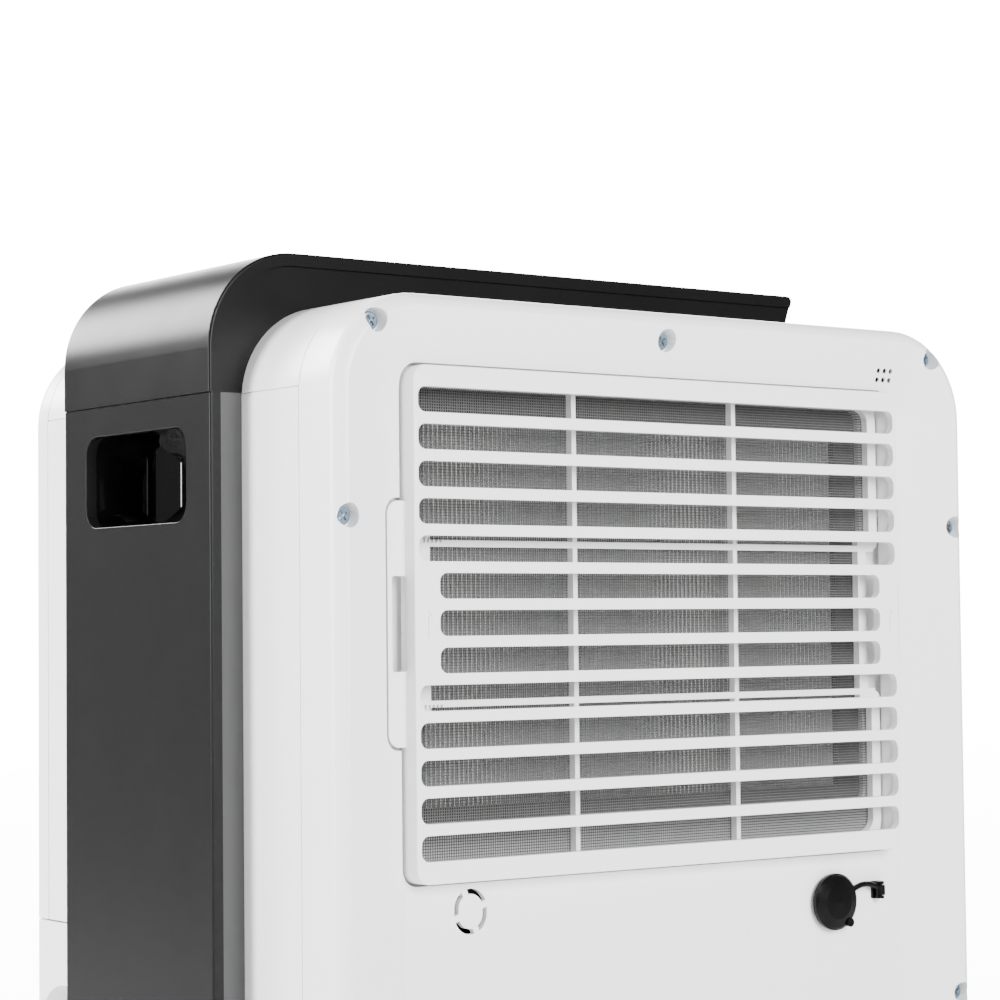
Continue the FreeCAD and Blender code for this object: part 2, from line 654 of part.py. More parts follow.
# ================================================================ ribbon
def ribbon_profile(inset, tip_inset, y0, y1):
    """Bent band over the casing's corner, ending in a slanted tip."""
    right = WIDTH / 2 - inset
    top = HEIGHT - inset
    tip = RIBBON_TIP + tip_inset
    radius = RIBBON_CORNER - inset
    tip_radius = max(TIP_CORNER - inset / 2, 1.0)
    low = TOP_SEAM
    heel = CASING_TOP - 2
    line = Part.makeLine
    bend = corner_arc(right - radius, top - radius, radius, y0, 0)
    nose_end = Vec(tip + 0.3 * tip_radius, y0, top - tip_radius)
    nose = Part.Arc(
        Vec(tip + tip_radius, y0, top),
        Vec(tip + 0.42 * tip_radius, y0, top - 0.3 * tip_radius),
        nose_end).toShape()
    heel_point = Vec(tip + TIP_SLANT, y0, heel)
    edges = [
        line(Vec(right, y0, low), Vec(right, y0, top - radius)),
        bend,
        line(Vec(right - radius, y0, top), Vec(tip + tip_radius, y0, top)),
        nose,
        line(nose_end, heel_point),
        line(heel_point, Vec(tip + TIP_SLANT, y0, low)),
        line(Vec(tip + TIP_SLANT, y0, low), Vec(right, y0, low)),
    ]
    return Part.Face(Part.Wire(edges)).extrude(Vec(0, y1 - y0, 0))


def on_ribbon_outside(edge):
    """Whether an edge of the band lies on its outer side, corner or top."""
    box_of = edge.BoundBox
    on_side = box_of.XMin > WIDTH / 2 - 0.01
    on_top = box_of.ZMin > HEIGHT - 0.01
    on_bend = box_of.XMax > WIDTH / 2 - 0.01 and box_of.ZMax > HEIGHT - 0.01
    return on_side or on_top or on_bend


def ribbon_top_cover():
    cover = ribbon_profile(0, 0, RIBBON_FRONT, RIBBON_REAR)
    rims = [e for e in edges_at_y(cover, RIBBON_REAR) + edges_at_y(cover, RIBBON_FRONT) if on_ribbon_outside(e)]
    cover = cover.makeFillet(RIBBON_EDGE, rims)
    end = RIBBON_RECESS + RIBBON_END_WALL
    skin = RIBBON_SKIN
    cover = cover.cut(ribbon_profile(skin, skin, RIBBON_FRONT + end, RIBBON_REAR - end))
    cover = cover.cut(ribbon_profile(skin, -skin, RIBBON_REAR - RIBBON_RECESS, RIBBON_REAR + 1))
    cover = cover.cut(ribbon_profile(skin, -skin, RIBBON_FRONT - 1, RIBBON_FRONT + RIBBON_RECESS))
    cover = cover.cut(casing_slab(0, RIBBON_FRONT - 2, RIBBON_REAR + 2))
    return cover.removeSplitter()


def ribbon_side_panel():
    right = WIDTH / 2 - RIBBON_STEP
    panel = box(WIDTH / 2 - RIBBON_SKIN, right, RIBBON_FRONT, RIBBON_REAR, CASING_BOTTOM, TOP_SEAM)
    upright = [e for e in panel.Edges if e.BoundBox.XMin > right - 0.01 and e.BoundBox.ZLength > 100]
    panel = panel.makeFillet(RIBBON_EDGE, upright)
    line = box(right - SEAM_DEPTH, right + 1, RIBBON_FRONT - 1, RIBBON_REAR + 1, TOP_SEAM - SEAM_GAP, TOP_SEAM)
    panel = panel.cut(line).cut(handle_mouth(CASING_RIGHT, WIDTH / 2 + 1))
    lip = [e for e in panel.Edges if on_handle_lip(e, right)]
    return panel.makeFillet(HANDLE_LIP, lip)


def on_handle_lip(edge, x):
    """Whether an edge lies around the handle's mouth in the plane at x."""
    box_of = edge.BoundBox
    flat = box_of.XMin > x - 0.01
    inside_y = box_of.YMin > HANDLE_Y - HANDLE_LENGTH / 2 - 1 and box_of.YMax < HANDLE_Y + HANDLE_LENGTH / 2 + 1
    inside_z = box_of.ZMin > HANDLE_Z - HANDLE_HEIGHT / 2 - 1 and box_of.ZMax < HANDLE_Z + HANDLE_HEIGHT / 2 + 1
    return flat and inside_y and inside_z


def side_channel():
    """Spacer moulding between the casing side and the ribbon's side panel."""
    outer = box(CASING_RIGHT, WIDTH / 2 - RIBBON_SKIN,
                RIBBON_FRONT + RIBBON_RECESS, RIBBON_REAR - RIBBON_RECESS, CASING_BOTTOM, TOP_SEAM)
    border = 4.0
    inner = box(CASING_RIGHT + 2, WIDTH / 2,
                RIBBON_FRONT + RIBBON_RECESS + border, RIBBON_REAR - RIBBON_RECESS - border,
                CASING_BOTTOM + border, TOP_SEAM - border)
    channel = outer.cut(inner)
    channel = channel.cut(handle_cutout(CASING_RIGHT - 1, WIDTH / 2))
    corner = casing_slab(0, RIBBON_FRONT - 1, RIBBON_REAR + 1)
    return channel.cut(corner)


def handle_pocket(mouth_x, depth, inward):
    """Scooped finger hold behind a wall; mouth_x is the wall's inner face, inward is +1 or -1 along X."""
    y0 = HANDLE_Y - HANDLE_LENGTH / 2
    y1 = HANDLE_Y + HANDLE_LENGTH / 2
    z0 = HANDLE_Z - HANDLE_HEIGHT / 2
    z1 = HANDLE_Z + HANDLE_HEIGHT / 2
    outer = side_block(y0 - POCKET_WALL, y1 + POCKET_WALL, z0 - POCKET_WALL, z1 + POCKET_WALL,
                       HANDLE_CORNER + POCKET_WALL, -depth - POCKET_WALL, 0)
    scoop = side_block(y0, y1, z0, z1, HANDLE_CORNER, -depth, 1)
    floor_sweep = round_block(-depth, depth, z0, z1, HANDLE_SWEEP_Z, y0 - 1, y1 + 1)
    end_sweep = round_block(-depth, depth, y0, y1, HANDLE_SWEEP_Y, -z1 - 1, -z0 + 1)
    end_sweep.rotate(Vec(0, 0, 0), Vec(1, 0, 0), -90)
    scoop = scoop.common(floor_sweep).common(end_sweep)
    pocket = outer.cut(scoop)
    if inward > 0:
        pocket = pocket.mirror(Vec(0, 0, 0), Vec(1, 0, 0))
    pocket.translate(Vec(mouth_x, 0, 0))
    return pocket


# ================================================================ filter
def arrow(x):
    """Shallow engraved arrow that points up."""
    half = ARROW_HEIGHT / 2
    stem = box(x - 0.6, x + 0.6, REAR - ARROW_DEPTH, REAR + 1, GRILLE_Z - half, GRILLE_Z + half - 1.6)
    tip = Vec(x, REAR - ARROW_DEPTH, GRILLE_Z + half)
    pieces = [stem]
    for sign in (-1, 1):
        outer = Vec(x + sign * 2.5, REAR - ARROW_DEPTH, GRILLE_Z + half - 3.6)
        inner = Vec(x + sign * 0.4, REAR - ARROW_DEPTH, GRILLE_Z + half - 2.4)
        face = Part.Face(Part.makePolygon([tip, outer, inner, Vec(x, REAR - ARROW_DEPTH, GRILLE_Z + half - 2), tip]))
        pieces.append(face.extrude(Vec(0, ARROW_DEPTH + 1, 0)))
    return fused(pieces)


def filter_grille():
    half = GRILLE_WIDTH / 2
    low = GRILLE_Z - GRILLE_HEIGHT / 2
    high = GRILLE_Z + GRILLE_HEIGHT / 2
    tray = round_block(GRILLE_X - half, GRILLE_X + half, low, high, GRILLE_CORNER, GRILLE_BACK, REAR)
    tray = tray.makeFillet(0.8, edges_at_y(tray, REAR))
    reach = half + EAR_WIDTH
    ears = round_block(
        GRILLE_X - reach, GRILLE_X + reach, GRILLE_Z - EAR_HEIGHT / 2, GRILLE_Z + EAR_HEIGHT / 2,
        EAR_CORNER, GRILLE_BACK, GRILLE_BACK + EAR_THICKNESS)
    ears = ears.cut(box(GRILLE_X - half + 1, GRILLE_X + half - 1, 0, REAR, 0, HEIGHT))
    tray = tray.fuse(ears)
    inner = GRILLE_WALL
    hollow = round_block(
        GRILLE_X - half + inner, GRILLE_X + half - inner, low + inner, high - inner,
        GRILLE_CORNER - inner, GRILLE_BACK - 1, REAR - GRILLE_FACE)
    tray = tray.cut(hollow)
    first = high - SLOT_FIRST
    for number in range(GRILLE_SLOTS):
        centre = first - number * SLOT_PITCH
        short = number in (5, 6, 7)
        margin = ARROW_PAD if short else SLOT_MARGIN
        slot = round_block(
            GRILLE_X - half + margin, GRILLE_X + half - margin,
            centre - SLOT_HEIGHT / 2, centre + SLOT_HEIGHT / 2, SLOT_CORNER, REAR - GRILLE_FACE - 1, REAR + 1)
        tray = tray.cut(slot)
    for sign in (-1, 1):
        ear_x = GRILLE_X + sign * (half + EAR_WIDTH / 2 - 1.5)
        finger = round_block(
            ear_x - FINGER_WIDTH / 2, ear_x + FINGER_WIDTH / 2,
            GRILLE_Z - FINGER_HEIGHT / 2, GRILLE_Z + FINGER_HEIGHT / 2, 1.5,
            GRILLE_BACK - 1, GRILLE_BACK + EAR_THICKNESS + 1)
        tray = tray.cut(finger)
        tray = tray.cut(arrow(GRILLE_X + sign * (half - ARROW_PAD / 2)))
    return tray.removeSplitter()


def frame_outline(inset):
    """Filter frame outline with its narrower waist, as a polygon with rounded corners."""
    half = GRILLE_WIDTH / 2 - FRAME_INSET - inset
    waist = half - FRAME_JOG
    low = GRILLE_Z - GRILLE_HEIGHT / 2 + FRAME_INSET + inset
    high = GRILLE_Z + GRILLE_HEIGHT / 2 - FRAME_INSET - inset
    jog = FRAME_WAIST + inset
    full = round_block(GRILLE_X - half, GRILLE_X + half, low, high, FRAME_CORNER - inset, FRAME_BACK, GRILLE_BACK)
    for sign in (-1, 1):
        x0 = GRILLE_X + sign * waist
        x1 = GRILLE_X + sign * (half + 5)
        notch = box(min(x0, x1), max(x0, x1), FRAME_BACK - 1, GRILLE_BACK + 1, GRILLE_Z - jog, GRILLE_Z + jog)
        full = full.cut(notch)
    corners = [e for e in full.Edges if e.BoundBox.ZLength < 0.01 and e.BoundBox.XLength < 0.01
               and abs(abs(e.BoundBox.ZMin - GRILLE_Z) - jog) < 0.01]
    return full.makeFillet(JOG_ROUND, corners)


def filter_frame():
    outer = frame_outline(0)
    inner = frame_outline(FRAME_BAR)
    frame = outer.cut(inner)
    bars = []
    half = GRILLE_WIDTH / 2 - FRAME_INSET - FRAME_BAR / 2
    low = GRILLE_Z - GRILLE_HEIGHT / 2 + FRAME_INSET + FRAME_BAR / 2
    high = GRILLE_Z + GRILLE_HEIGHT / 2 - FRAME_INSET - FRAME_BAR / 2
    for sign in (-1, 1):
        z = GRILLE_Z + sign * FRAME_WAIST
        bars.append(box(GRILLE_X - half, GRILLE_X + half, FRAME_BACK, GRILLE_BACK, z - 1.5, z + 1.5))
        x = GRILLE_X + sign * GRILLE_WIDTH / 6
        bars.append(box(x - FRAME_RIB / 2, x + FRAME_RIB / 2, FRAME_BACK, GRILLE_BACK, low, high))
    frame = frame.multiFuse(bars)
    for sign in (-1, 1):
        for tooth in range(COMB_TEETH):
            x = GRILLE_X + half - FRAME_BAR - (tooth + 1) * COMB_PITCH
            z = GRILLE_Z + sign * (FRAME_WAIST + 1.5)
            gap = box(x - 0.6, x + 0.6, GRILLE_BACK - 1.5, GRILLE_BACK + 1, z - 1.2, z + 1.2)
            frame = frame.cut(gap)
    return frame.removeSplitter()


def filter_mesh():
    half = GRILLE_WIDTH / 2 - FRAME_INSET - 1.5
    low = GRILLE_Z - GRILLE_HEIGHT / 2 + FRAME_INSET + 1.5
    high = GRILLE_Z + GRILLE_HEIGHT / 2 - FRAME_INSET - 1.5
    sheet = round_block(GRILLE_X - half, GRILLE_X + half, low, high, 8.0, MESH_BACK, FRAME_BACK)
    waist = half - FRAME_JOG
    for sign in (-1, 1):
        x0 = GRILLE_X + sign * waist
        x1 = GRILLE_X + sign * (half + 5)
        notch = box(min(x0, x1), max(x0, x1), MESH_BACK - 1, FRAME_BACK + 1,
                    GRILLE_Z - FRAME_WAIST - 1.5, GRILLE_Z + FRAME_WAIST + 1.5)
        sheet = sheet.cut(notch)
    return sheet


# ================================================================ drain
def strap_anchor_x():
    """X of the pin that the plug's strap turns on."""
    return DRAIN_X - PLUG_RADIUS - STRAP_REACH


def drain_port():
    """Spigot behind the rear cover with a riser up to the drip tray."""
    outer = DRAIN_BORE + DRAIN_WALL
    front = DISH_Y + DRAIN_PROUD
    back = front - DRAIN_LENGTH
    spigot = rod_y(outer, DRAIN_X, back, front, DRAIN_Z)
    flange = rod_y(outer + 4, DRAIN_X, DISH_Y - DISH_SKIN - 2, DISH_Y - DISH_SKIN, DRAIN_Z)
    riser_y = back + outer
    riser = rod_z(outer - 3, DRAIN_X, riser_y, DRAIN_Z, TRAY_BOTTOM)
    port = fused([spigot, flange, riser])
    port = port.cut(rod_y(DRAIN_BORE, DRAIN_X, back + DRAIN_WALL, front + 1, DRAIN_Z))
    return port.cut(rod_z(outer - 5, DRAIN_X, riser_y, DRAIN_Z, TRAY_BOTTOM + 1))


def drain_plug():
    """Rubber cap with a short stem and a strap; it swings about the pin at the strap's end."""
    back = DISH_Y + DRAIN_PROUD + PLUG_LIFT
    front = back + PLUG_THICKNESS
    cap = revolve_y([
        (0, back), (PLUG_RADIUS - 1, back), (PLUG_RADIUS, back + 1), (PLUG_RADIUS, front - 1),
        (PLUG_RADIUS - 1.2, front), (PLUG_RADIUS * 0.6, front + PLUG_DOME * 0.75), (0, front + PLUG_DOME),
    ], DRAIN_X, DRAIN_Z)
    stem = rod_y(PLUG_STEM_RADIUS, DRAIN_X, back - PLUG_STEM_LENGTH, back + 0.5, DRAIN_Z)
    nub_x = DRAIN_X - PLUG_RADIUS * 0.55
    nub_z = DRAIN_Z - PLUG_RADIUS * 0.75
    nub = rod_y(2.2, nub_x, back + 0.5, front + 1.2, nub_z)
    strap_z = DRAIN_Z + STRAP_RISE
    anchor = strap_anchor_x()
    half = STRAP_EYE_HEIGHT / 2
    reach = (DRAIN_X - PLUG_RADIUS + 4 - anchor) / 2
    bow = (reach ** 2 + STRAP_ARCH ** 2) / (2 * STRAP_ARCH)
    centre_z = strap_z + STRAP_ARCH - bow
    ring = Part.makeTorus(bow, STRAP_RADIUS, Vec(anchor + reach, hinge_y(), centre_z), Vec(0, 1, 0))
    strap = ring.common(box(anchor, anchor + 2 * reach, hinge_y() - 3, hinge_y() + 3, strap_z - 3, strap_z + bow))
    eye = rod_z(STRAP_EYE_RADIUS, anchor, hinge_y(), strap_z - half, strap_z + half)
    plug = fused([cap, stem, nub, strap, eye])
    return plug.cut(rod_z(STRAP_PIN_RADIUS + FIT, anchor, hinge_y(), strap_z - half - 1, strap_z + half + 1))


def hinge_y():
    """Y of the upright pin that the strap turns on."""
    return DISH_Y + DRAIN_PROUD + PLUG_LIFT + PLUG_THICKNESS - STRAP_RADIUS


def plug_anchor():
    """Small clip pushed into the rear cover; its upright pin carries the strap's eye."""
    x = strap_anchor_x()
    strap_z = DRAIN_Z + STRAP_RISE
    inner = STRAP_EYE_HEIGHT / 2 + ANCHOR_GAP
    outer = inner + ANCHOR_LUG
    plate_top = hinge_y() - STRAP_EYE_RADIUS - ANCHOR_GAP
    plate = box(x - 3, x + 3, DISH_Y, plate_top, strap_z - outer, strap_z + outer)
    stem = rod_y(ANCHOR_STEM, x, DISH_Y - DISH_SKIN - 1, DISH_Y + 0.2, strap_z)
    pieces = [plate, stem, rod_z(STRAP_PIN_RADIUS, x, hinge_y(), strap_z - outer, strap_z + outer)]
    for sign in (-1, 1):
        z0, z1 = sorted((strap_z + sign * inner, strap_z + sign * outer))
        pieces.append(box(x - 1.8, x + 1.8, DISH_Y, hinge_y(), z0, z1))
        pieces.append(rod_z(1.8, x, hinge_y(), z0, z1))
    return fused(pieces)


# ================================================================ coils, tray, fan
def tube_levels():
    pitch = (COIL_TOP - COIL_BOTTOM) / TUBE_ROWS
    return [COIL_BOTTOM + pitch * (row + 0.5) for row in range(TUBE_ROWS)]


def fin_pack(rear_y, depth, pitch):
    """Thin upright fins on the tubes of one coil."""
    axis_y = rear_y - depth / 2
    count = int(COIL_WIDTH / pitch)
    start = GRILLE_X - pitch * (count - 1) / 2
    fin = box(-FIN_THICKNESS / 2, FIN_THICKNESS / 2, rear_y - depth, rear_y, COIL_BOTTOM, COIL_TOP)
    for z in tube_levels():
        fin = fin.cut(rod_x(TUBE_RADIUS, -1, 1, axis_y, z))
    fins = []
    for number in range(count):
        copy = fin.copy()
        copy.translate(Vec(start + number * pitch, 0, 0))
        fins.append(copy)
    return Part.makeCompound(fins)


def end_plate_x():
    return COIL_WIDTH / 2 + 2.0


def serpentine(rear_y, depth):
    """One tube that runs back and forth through a coil."""
    axis_y = rear_y - depth / 2
    levels = tube_levels()
    bend = (levels[1] - levels[0]) / 2
    reach = end_plate_x() + END_PLATE + 1.5
    pieces = []
    for row, z in enumerate(levels):
        pieces.append(rod_x(TUBE_RADIUS, GRILLE_X - reach, GRILLE_X + reach, axis_y, z))
        if row + 1 < len(levels):
            side = 1 if row % 2 else -1
            pieces.append(half_ring_x(bend, TUBE_RADIUS, GRILLE_X + side * reach, axis_y, z + bend, side))
    return fused(pieces)


def coil_end_plates():
    """Two plates that carry both coils, joined by a frame that closes the gap round the fins."""
    y0 = BAFFLE_Y + TRAY_WALL
    y1 = EVAPORATOR_REAR + SEAL_THICKNESS
    half = GRILLE_WIDTH / 2 - 2
    fins = COIL_WIDTH / 2 + 0.5
    frame = box(GRILLE_X - half, GRILLE_X + half, EVAPORATOR_REAR + 0.2, y1,
                TRAY_BOTTOM + TRAY_HEIGHT + 1.5, GRILLE_Z + GRILLE_HEIGHT / 2 - 3)
    frame = frame.cut(box(GRILLE_X - fins, GRILLE_X + fins, EVAPORATOR_REAR, y1 + 1, COIL_BOTTOM, COIL_TOP + 0.5))
    pieces = [frame]
    for sign in (-1, 1):
        x = GRILLE_X + sign * end_plate_x()
        x0, x1 = sorted((x, x + sign * END_PLATE))
        plate = box(x0, x1, y0, y1, TRAY_BOTTOM + TRAY_WALL, COIL_TOP + 4)
        for rear_y, depth in ((EVAPORATOR_REAR, EVAPORATOR_DEPTH), (CONDENSER_REAR, CONDENSER_DEPTH)):
            for z in tube_levels():
                plate = plate.cut(rod_x(TUBE_RADIUS, x - 5, x + 5, rear_y - depth / 2, z))
        pieces.append(plate)
    return fused(pieces)


def spout_place():
    """Where the tray lets water fall into the tank."""
    return CASING_X + 0.16 * CASING_WIDTH, (BUCKET_REAR + FRONT_SEAM) / 2


def drip_tray():
    left = GRILLE_X - TRAY_HALF_WIDTH
    right = GRILLE_X + TRAY_HALF_WIDTH
    rear = TRAY_REAR
    top = TRAY_BOTTOM + TRAY_HEIGHT
    spout_x, spout_y = spout_place()
    half = TRAY_CHANNEL / 2
    front = spout_y - half
    main = box(left, right, BAFFLE_Y, rear, TRAY_BOTTOM, top)
    arm = box(spout_x - half, spout_x + half, front, BAFFLE_Y + 1, TRAY_BOTTOM, top - 4)
    spout = rod_z(SPOUT_RADIUS, spout_x, spout_y, DECK_BOTTOM - 3, TRAY_BOTTOM + 1)
    tray = fused([main, arm, spout])
    wall = TRAY_WALL
    tray = tray.cut(box(left + wall, right - wall, BAFFLE_Y + wall, rear - wall, TRAY_BOTTOM + wall, top + 1))
    tray = tray.cut(box(spout_x - half + wall, spout_x + half - wall, front + wall, BAFFLE_Y + 2 * wall,
                        TRAY_BOTTOM + wall, top + 1))
    tray = tray.cut(rod_z(SPOUT_RADIUS - wall, spout_x, spout_y, DECK_BOTTOM - 4, top))
    riser_y = DISH_Y + DRAIN_PROUD - DRAIN_LENGTH + DRAIN_BORE + DRAIN_WALL
    return tray.cut(rod_z(DRAIN_BORE + DRAIN_WALL - 5, DRAIN_X, riser_y, TRAY_BOTTOM - 1, TRAY_BOTTOM + wall + 1))


def scroll_solid(inset, y0, y1):
    """Spiral fan chamber with its duct to the outlet on the -X side."""
    steps = 42
    start = 225.0
    sweep = 315.0
    points = []
    for step in range(steps + 1):
        part = step / steps
        angle = math.radians(start - sweep * part)
        radius = SCROLL_START + (SCROLL_END - SCROLL_START) * part - inset
        points.append(Vec(FAN_X + radius * math.cos(angle), y0, FAN_Z + radius * math.sin(angle)))
    mouth = CASING_LEFT + OUTLET_DEPTH
    if inset > 0:
        mouth = mouth - 1
    top = OUTLET_BOTTOM + OUTLET_HEIGHT - inset
    spiral = Part.BSplineCurve()
    spiral.interpolate(points)
    low = points[-1].z
    corner_low = Vec(mouth, y0, low)
    corner_high = Vec(mouth, y0, top)
    edges = [
        spiral.toShape(),
        Part.makeLine(points[-1], corner_low),
        Part.makeLine(corner_low, corner_high),
        Part.makeLine(corner_high, points[0]),
    ]
    return Part.Face(Part.Wire(edges)).extrude(Vec(0, y1 - y0, 0))


def fan_housing():
    shell = scroll_solid(0, SCROLL_FRONT, BAFFLE_Y)
    shell = shell.cut(scroll_solid(SCROLL_WALL, OUTLET_FRONT, OUTLET_REAR))
    baffle = casing_slab(WALL, BAFFLE_Y - BAFFLE_THICKNESS, BAFFLE_Y)
    low = SCROLL_FLOOR
    baffle = baffle.cut(box(-WIDTH, WIDTH, -DEPTH, DEPTH, 0, low))
    shell = shell.fuse(baffle)
    inner = scroll_solid(SCROLL_WALL, OUTLET_FRONT, OUTLET_REAR)
    shell = shell.cut(inner)
    shell = shell.cut(rod_y(FAN_RADIUS - 12, FAN_X, BAFFLE_Y - 10, BAFFLE_Y + 1, FAN_Z))
    shell = shell.cut(rod_y(SHAFT_RADIUS + 2, FAN_X, SCROLL_FRONT - 1, SCROLL_FRONT + 6, FAN_Z))
    shell = shell.cut(handle_cutout(CASING_RIGHT - WALL - HANDLE_DEPTH - 4, CASING_RIGHT + 1))
    shell = shell.cut(handle_cutout(CASING_LEFT - 1, CASING_LEFT + HANDLE_DEPTH + POCKET_WALL + 1))
    return shell.removeSplitter()


def fan_wheel():
    """Forward curved blower wheel on its motor shaft."""
    back = SCROLL_FRONT + SCROLL_WALL + 4.0
    front = OUTLET_REAR - 6.0
    disc = rod_y(FAN_RADIUS, FAN_X, back, back + 2, FAN_Z)
    hub = rod_y(14, FAN_X, back, back + 0.5 * (front - back), FAN_Z)
    shaft = rod_y(SHAFT_RADIUS, FAN_X, SCROLL_FRONT - 0.6 * MOTOR_LENGTH, back + 1, FAN_Z)
    rim = rod_y(FAN_RADIUS, FAN_X, front - 4, front, FAN_Z)
    rim = rim.cut(rod_y(FAN_RADIUS - 4, FAN_X, front - 5, front + 1, FAN_Z))
    pieces = [disc, hub, shaft, rim]
    chord = 0.16 * FAN_RADIUS
    for number in range(FAN_BLADES):
        blade = box(FAN_RADIUS - chord, FAN_RADIUS - 0.6, back + 1, front - 1, -0.8, 0.8)
        blade.rotate(Vec(FAN_RADIUS - chord / 2, 0, 0), Vec(0, 1, 0), 28)
        blade.rotate(Vec(0, 0, 0), Vec(0, 1, 0), number * 360.0 / FAN_BLADES)
        blade.translate(Vec(FAN_X, 0, FAN_Z))
        pieces.append(blade)
    return fused(pieces)


def fan_motor():
    rear = SCROLL_FRONT
    front = rear - MOTOR_LENGTH
    can = rod_y(MOTOR_RADIUS, FAN_X, front, rear, FAN_Z)
    can = can.makeFillet(5, edges_at_y(can, front))
    return can.cut(rod_y(SHAFT_RADIUS + FIT, FAN_X, front + 0.35 * MOTOR_LENGTH, rear + 1, FAN_Z))


# ================================================================ compressor bay
def foot_places():
    places = []
    for turn in (90, 210, 330):
        angle = math.radians(turn)
        reach = COMPRESSOR_RADIUS + 2
        places.append((COMPRESSOR_X + reach * math.cos(angle), COMPRESSOR_Y + reach * math.sin(angle)))
    return places


def compressor():
    base = BAY_FLOOR + FOOT_HEIGHT
    top = COMPRESSOR_TOP
    radius = COMPRESSOR_RADIUS
    shell = revolve_z([
        (0, base + 2), (radius * 0.8, base + 2), (radius, base + 16), (radius, top - 30),
        (radius * 0.86, top - 12), (radius * 0.5, top - 3), (0, top),
    ], COMPRESSOR_X, COMPRESSOR_Y)
    band = rod_z(radius + 1.5, COMPRESSOR_X, COMPRESSOR_Y, base + 70, base + 78)
    pieces = [shell, band]
    for x, y in foot_places():
        pieces.append(rod_z(FOOT_RADIUS, x, y, base, base + FOOT_PLATE))
        middle_x = (x + COMPRESSOR_X) / 2
        middle_y = (y + COMPRESSOR_Y) / 2
        arm = rod_z(radius * 0.5, middle_x, middle_y, base, base + FOOT_PLATE)
        pieces.append(arm)
    side_x = COMPRESSOR_X + radius + 23
    bottle = revolve_z([
        (0, base + 60), (12, base + 60), (18, base + 68), (18, base + 140), (12, base + 150), (0, base + 150),
    ], side_x, COMPRESSOR_Y)
    link = rod_x(5, COMPRESSOR_X + radius * 0.5, side_x, COMPRESSOR_Y, base + 80)
    return fused(pieces + [bottle, link])


def compressor_feet():
    feet = []
    for x, y in foot_places():
        foot = revolve_z([
            (2.5, BAY_FLOOR), (FOOT_RADIUS, BAY_FLOOR), (FOOT_RADIUS - 2, BAY_FLOOR + FOOT_HEIGHT / 2),
            (FOOT_RADIUS, BAY_FLOOR + FOOT_HEIGHT), (2.5, BAY_FLOOR + FOOT_HEIGHT),
        ], x, y)
        feet.append(foot)
    return Part.makeCompound(feet)


def refrigerant_pipes():
    """Two pipes from the compressor's top, out to the side and up to the coils."""
    pipes = []
    side_x = GRILLE_X + TRAY_HALF_WIDTH + 9.0
    levels = tube_levels()
    joint_x = GRILLE_X + end_plate_x() + END_PLATE + 1.5
    low = COMPRESSOR_TOP + 9.0
    runs = (
        (CONDENSER_REAR - CONDENSER_DEPTH / 2, -12.0, levels[0]),
        (EVAPORATOR_REAR - EVAPORATOR_DEPTH / 2, 12.0, levels[0]),
    )
    for coil_y, start_shift, level in runs:
        radius = TUBE_RADIUS - 0.5
        start_x = COMPRESSOR_X
        start_y = COMPRESSOR_Y + start_shift
        run_z = low + (0 if start_shift < 0 else 14)
        points = [
            Vec(start_x, start_y, COMPRESSOR_TOP - 9),
            Vec(start_x, start_y, run_z),
            Vec(start_x, coil_y, run_z),
            Vec(side_x, coil_y, run_z),
            Vec(side_x, coil_y, level),
            Vec(joint_x, coil_y, level),
        ]
        pieces = []
        for first, second in zip(points, points[1:]):
            run = second - first
            if run.Length < 0.5:
                continue
            pieces.append(Part.makeCylinder(radius, run.Length, first, run))
            if second != points[-1]:
                pieces.append(Part.makeSphere(radius, second))
        pipe = fused(pieces)
        pipes.append(pipe)
    tubes = serpentine(CONDENSER_REAR, CONDENSER_DEPTH).fuse(serpentine(EVAPORATOR_REAR, EVAPORATOR_DEPTH))
    body = compressor()
    return Part.makeCompound([pipe.cut(tubes).cut(body).Solids[0] for pipe in pipes])


# ================================================================ tank
def grip_block(margin, x0, x1):
    """Upright oval of the tank's finger grip, grown by a margin."""
    radius = GRIP_RADIUS + margin
    high = GRIP_TOP - GRIP_RADIUS
    low = high - GRIP_STRAIGHT
    return fused([
        rod_x(radius, x0, x1, GRIP_Y, high),
        rod_x(radius, x0, x1, GRIP_Y, low),
        box(x0, x1, GRIP_Y - radius, GRIP_Y + radius, low, high),
    ])


def grip_scoop(sign):
    """Finger recess in the side of the tank's front."""
    outer = CASING_X + sign * CASING_WIDTH / 2
    x0, x1 = sorted((outer - sign * GRIP_DEPTH, outer + sign * 1.0))
    return grip_block(0, x0, x1)


def tank_grips():
    """Two cups behind the side walls of the tank's front."""
    cups = []
    for sign in (-1, 1):
        mouth = CASING_X + sign * (CASING_WIDTH / 2 - WALL)
        floor = mouth - sign * GRIP_DEPTH
        x0, x1 = sorted((floor, mouth))
        cup = grip_block(WALL, x0, x1)
        cups.append(cup.cut(grip_scoop(sign)))
    return Part.makeCompound(cups)


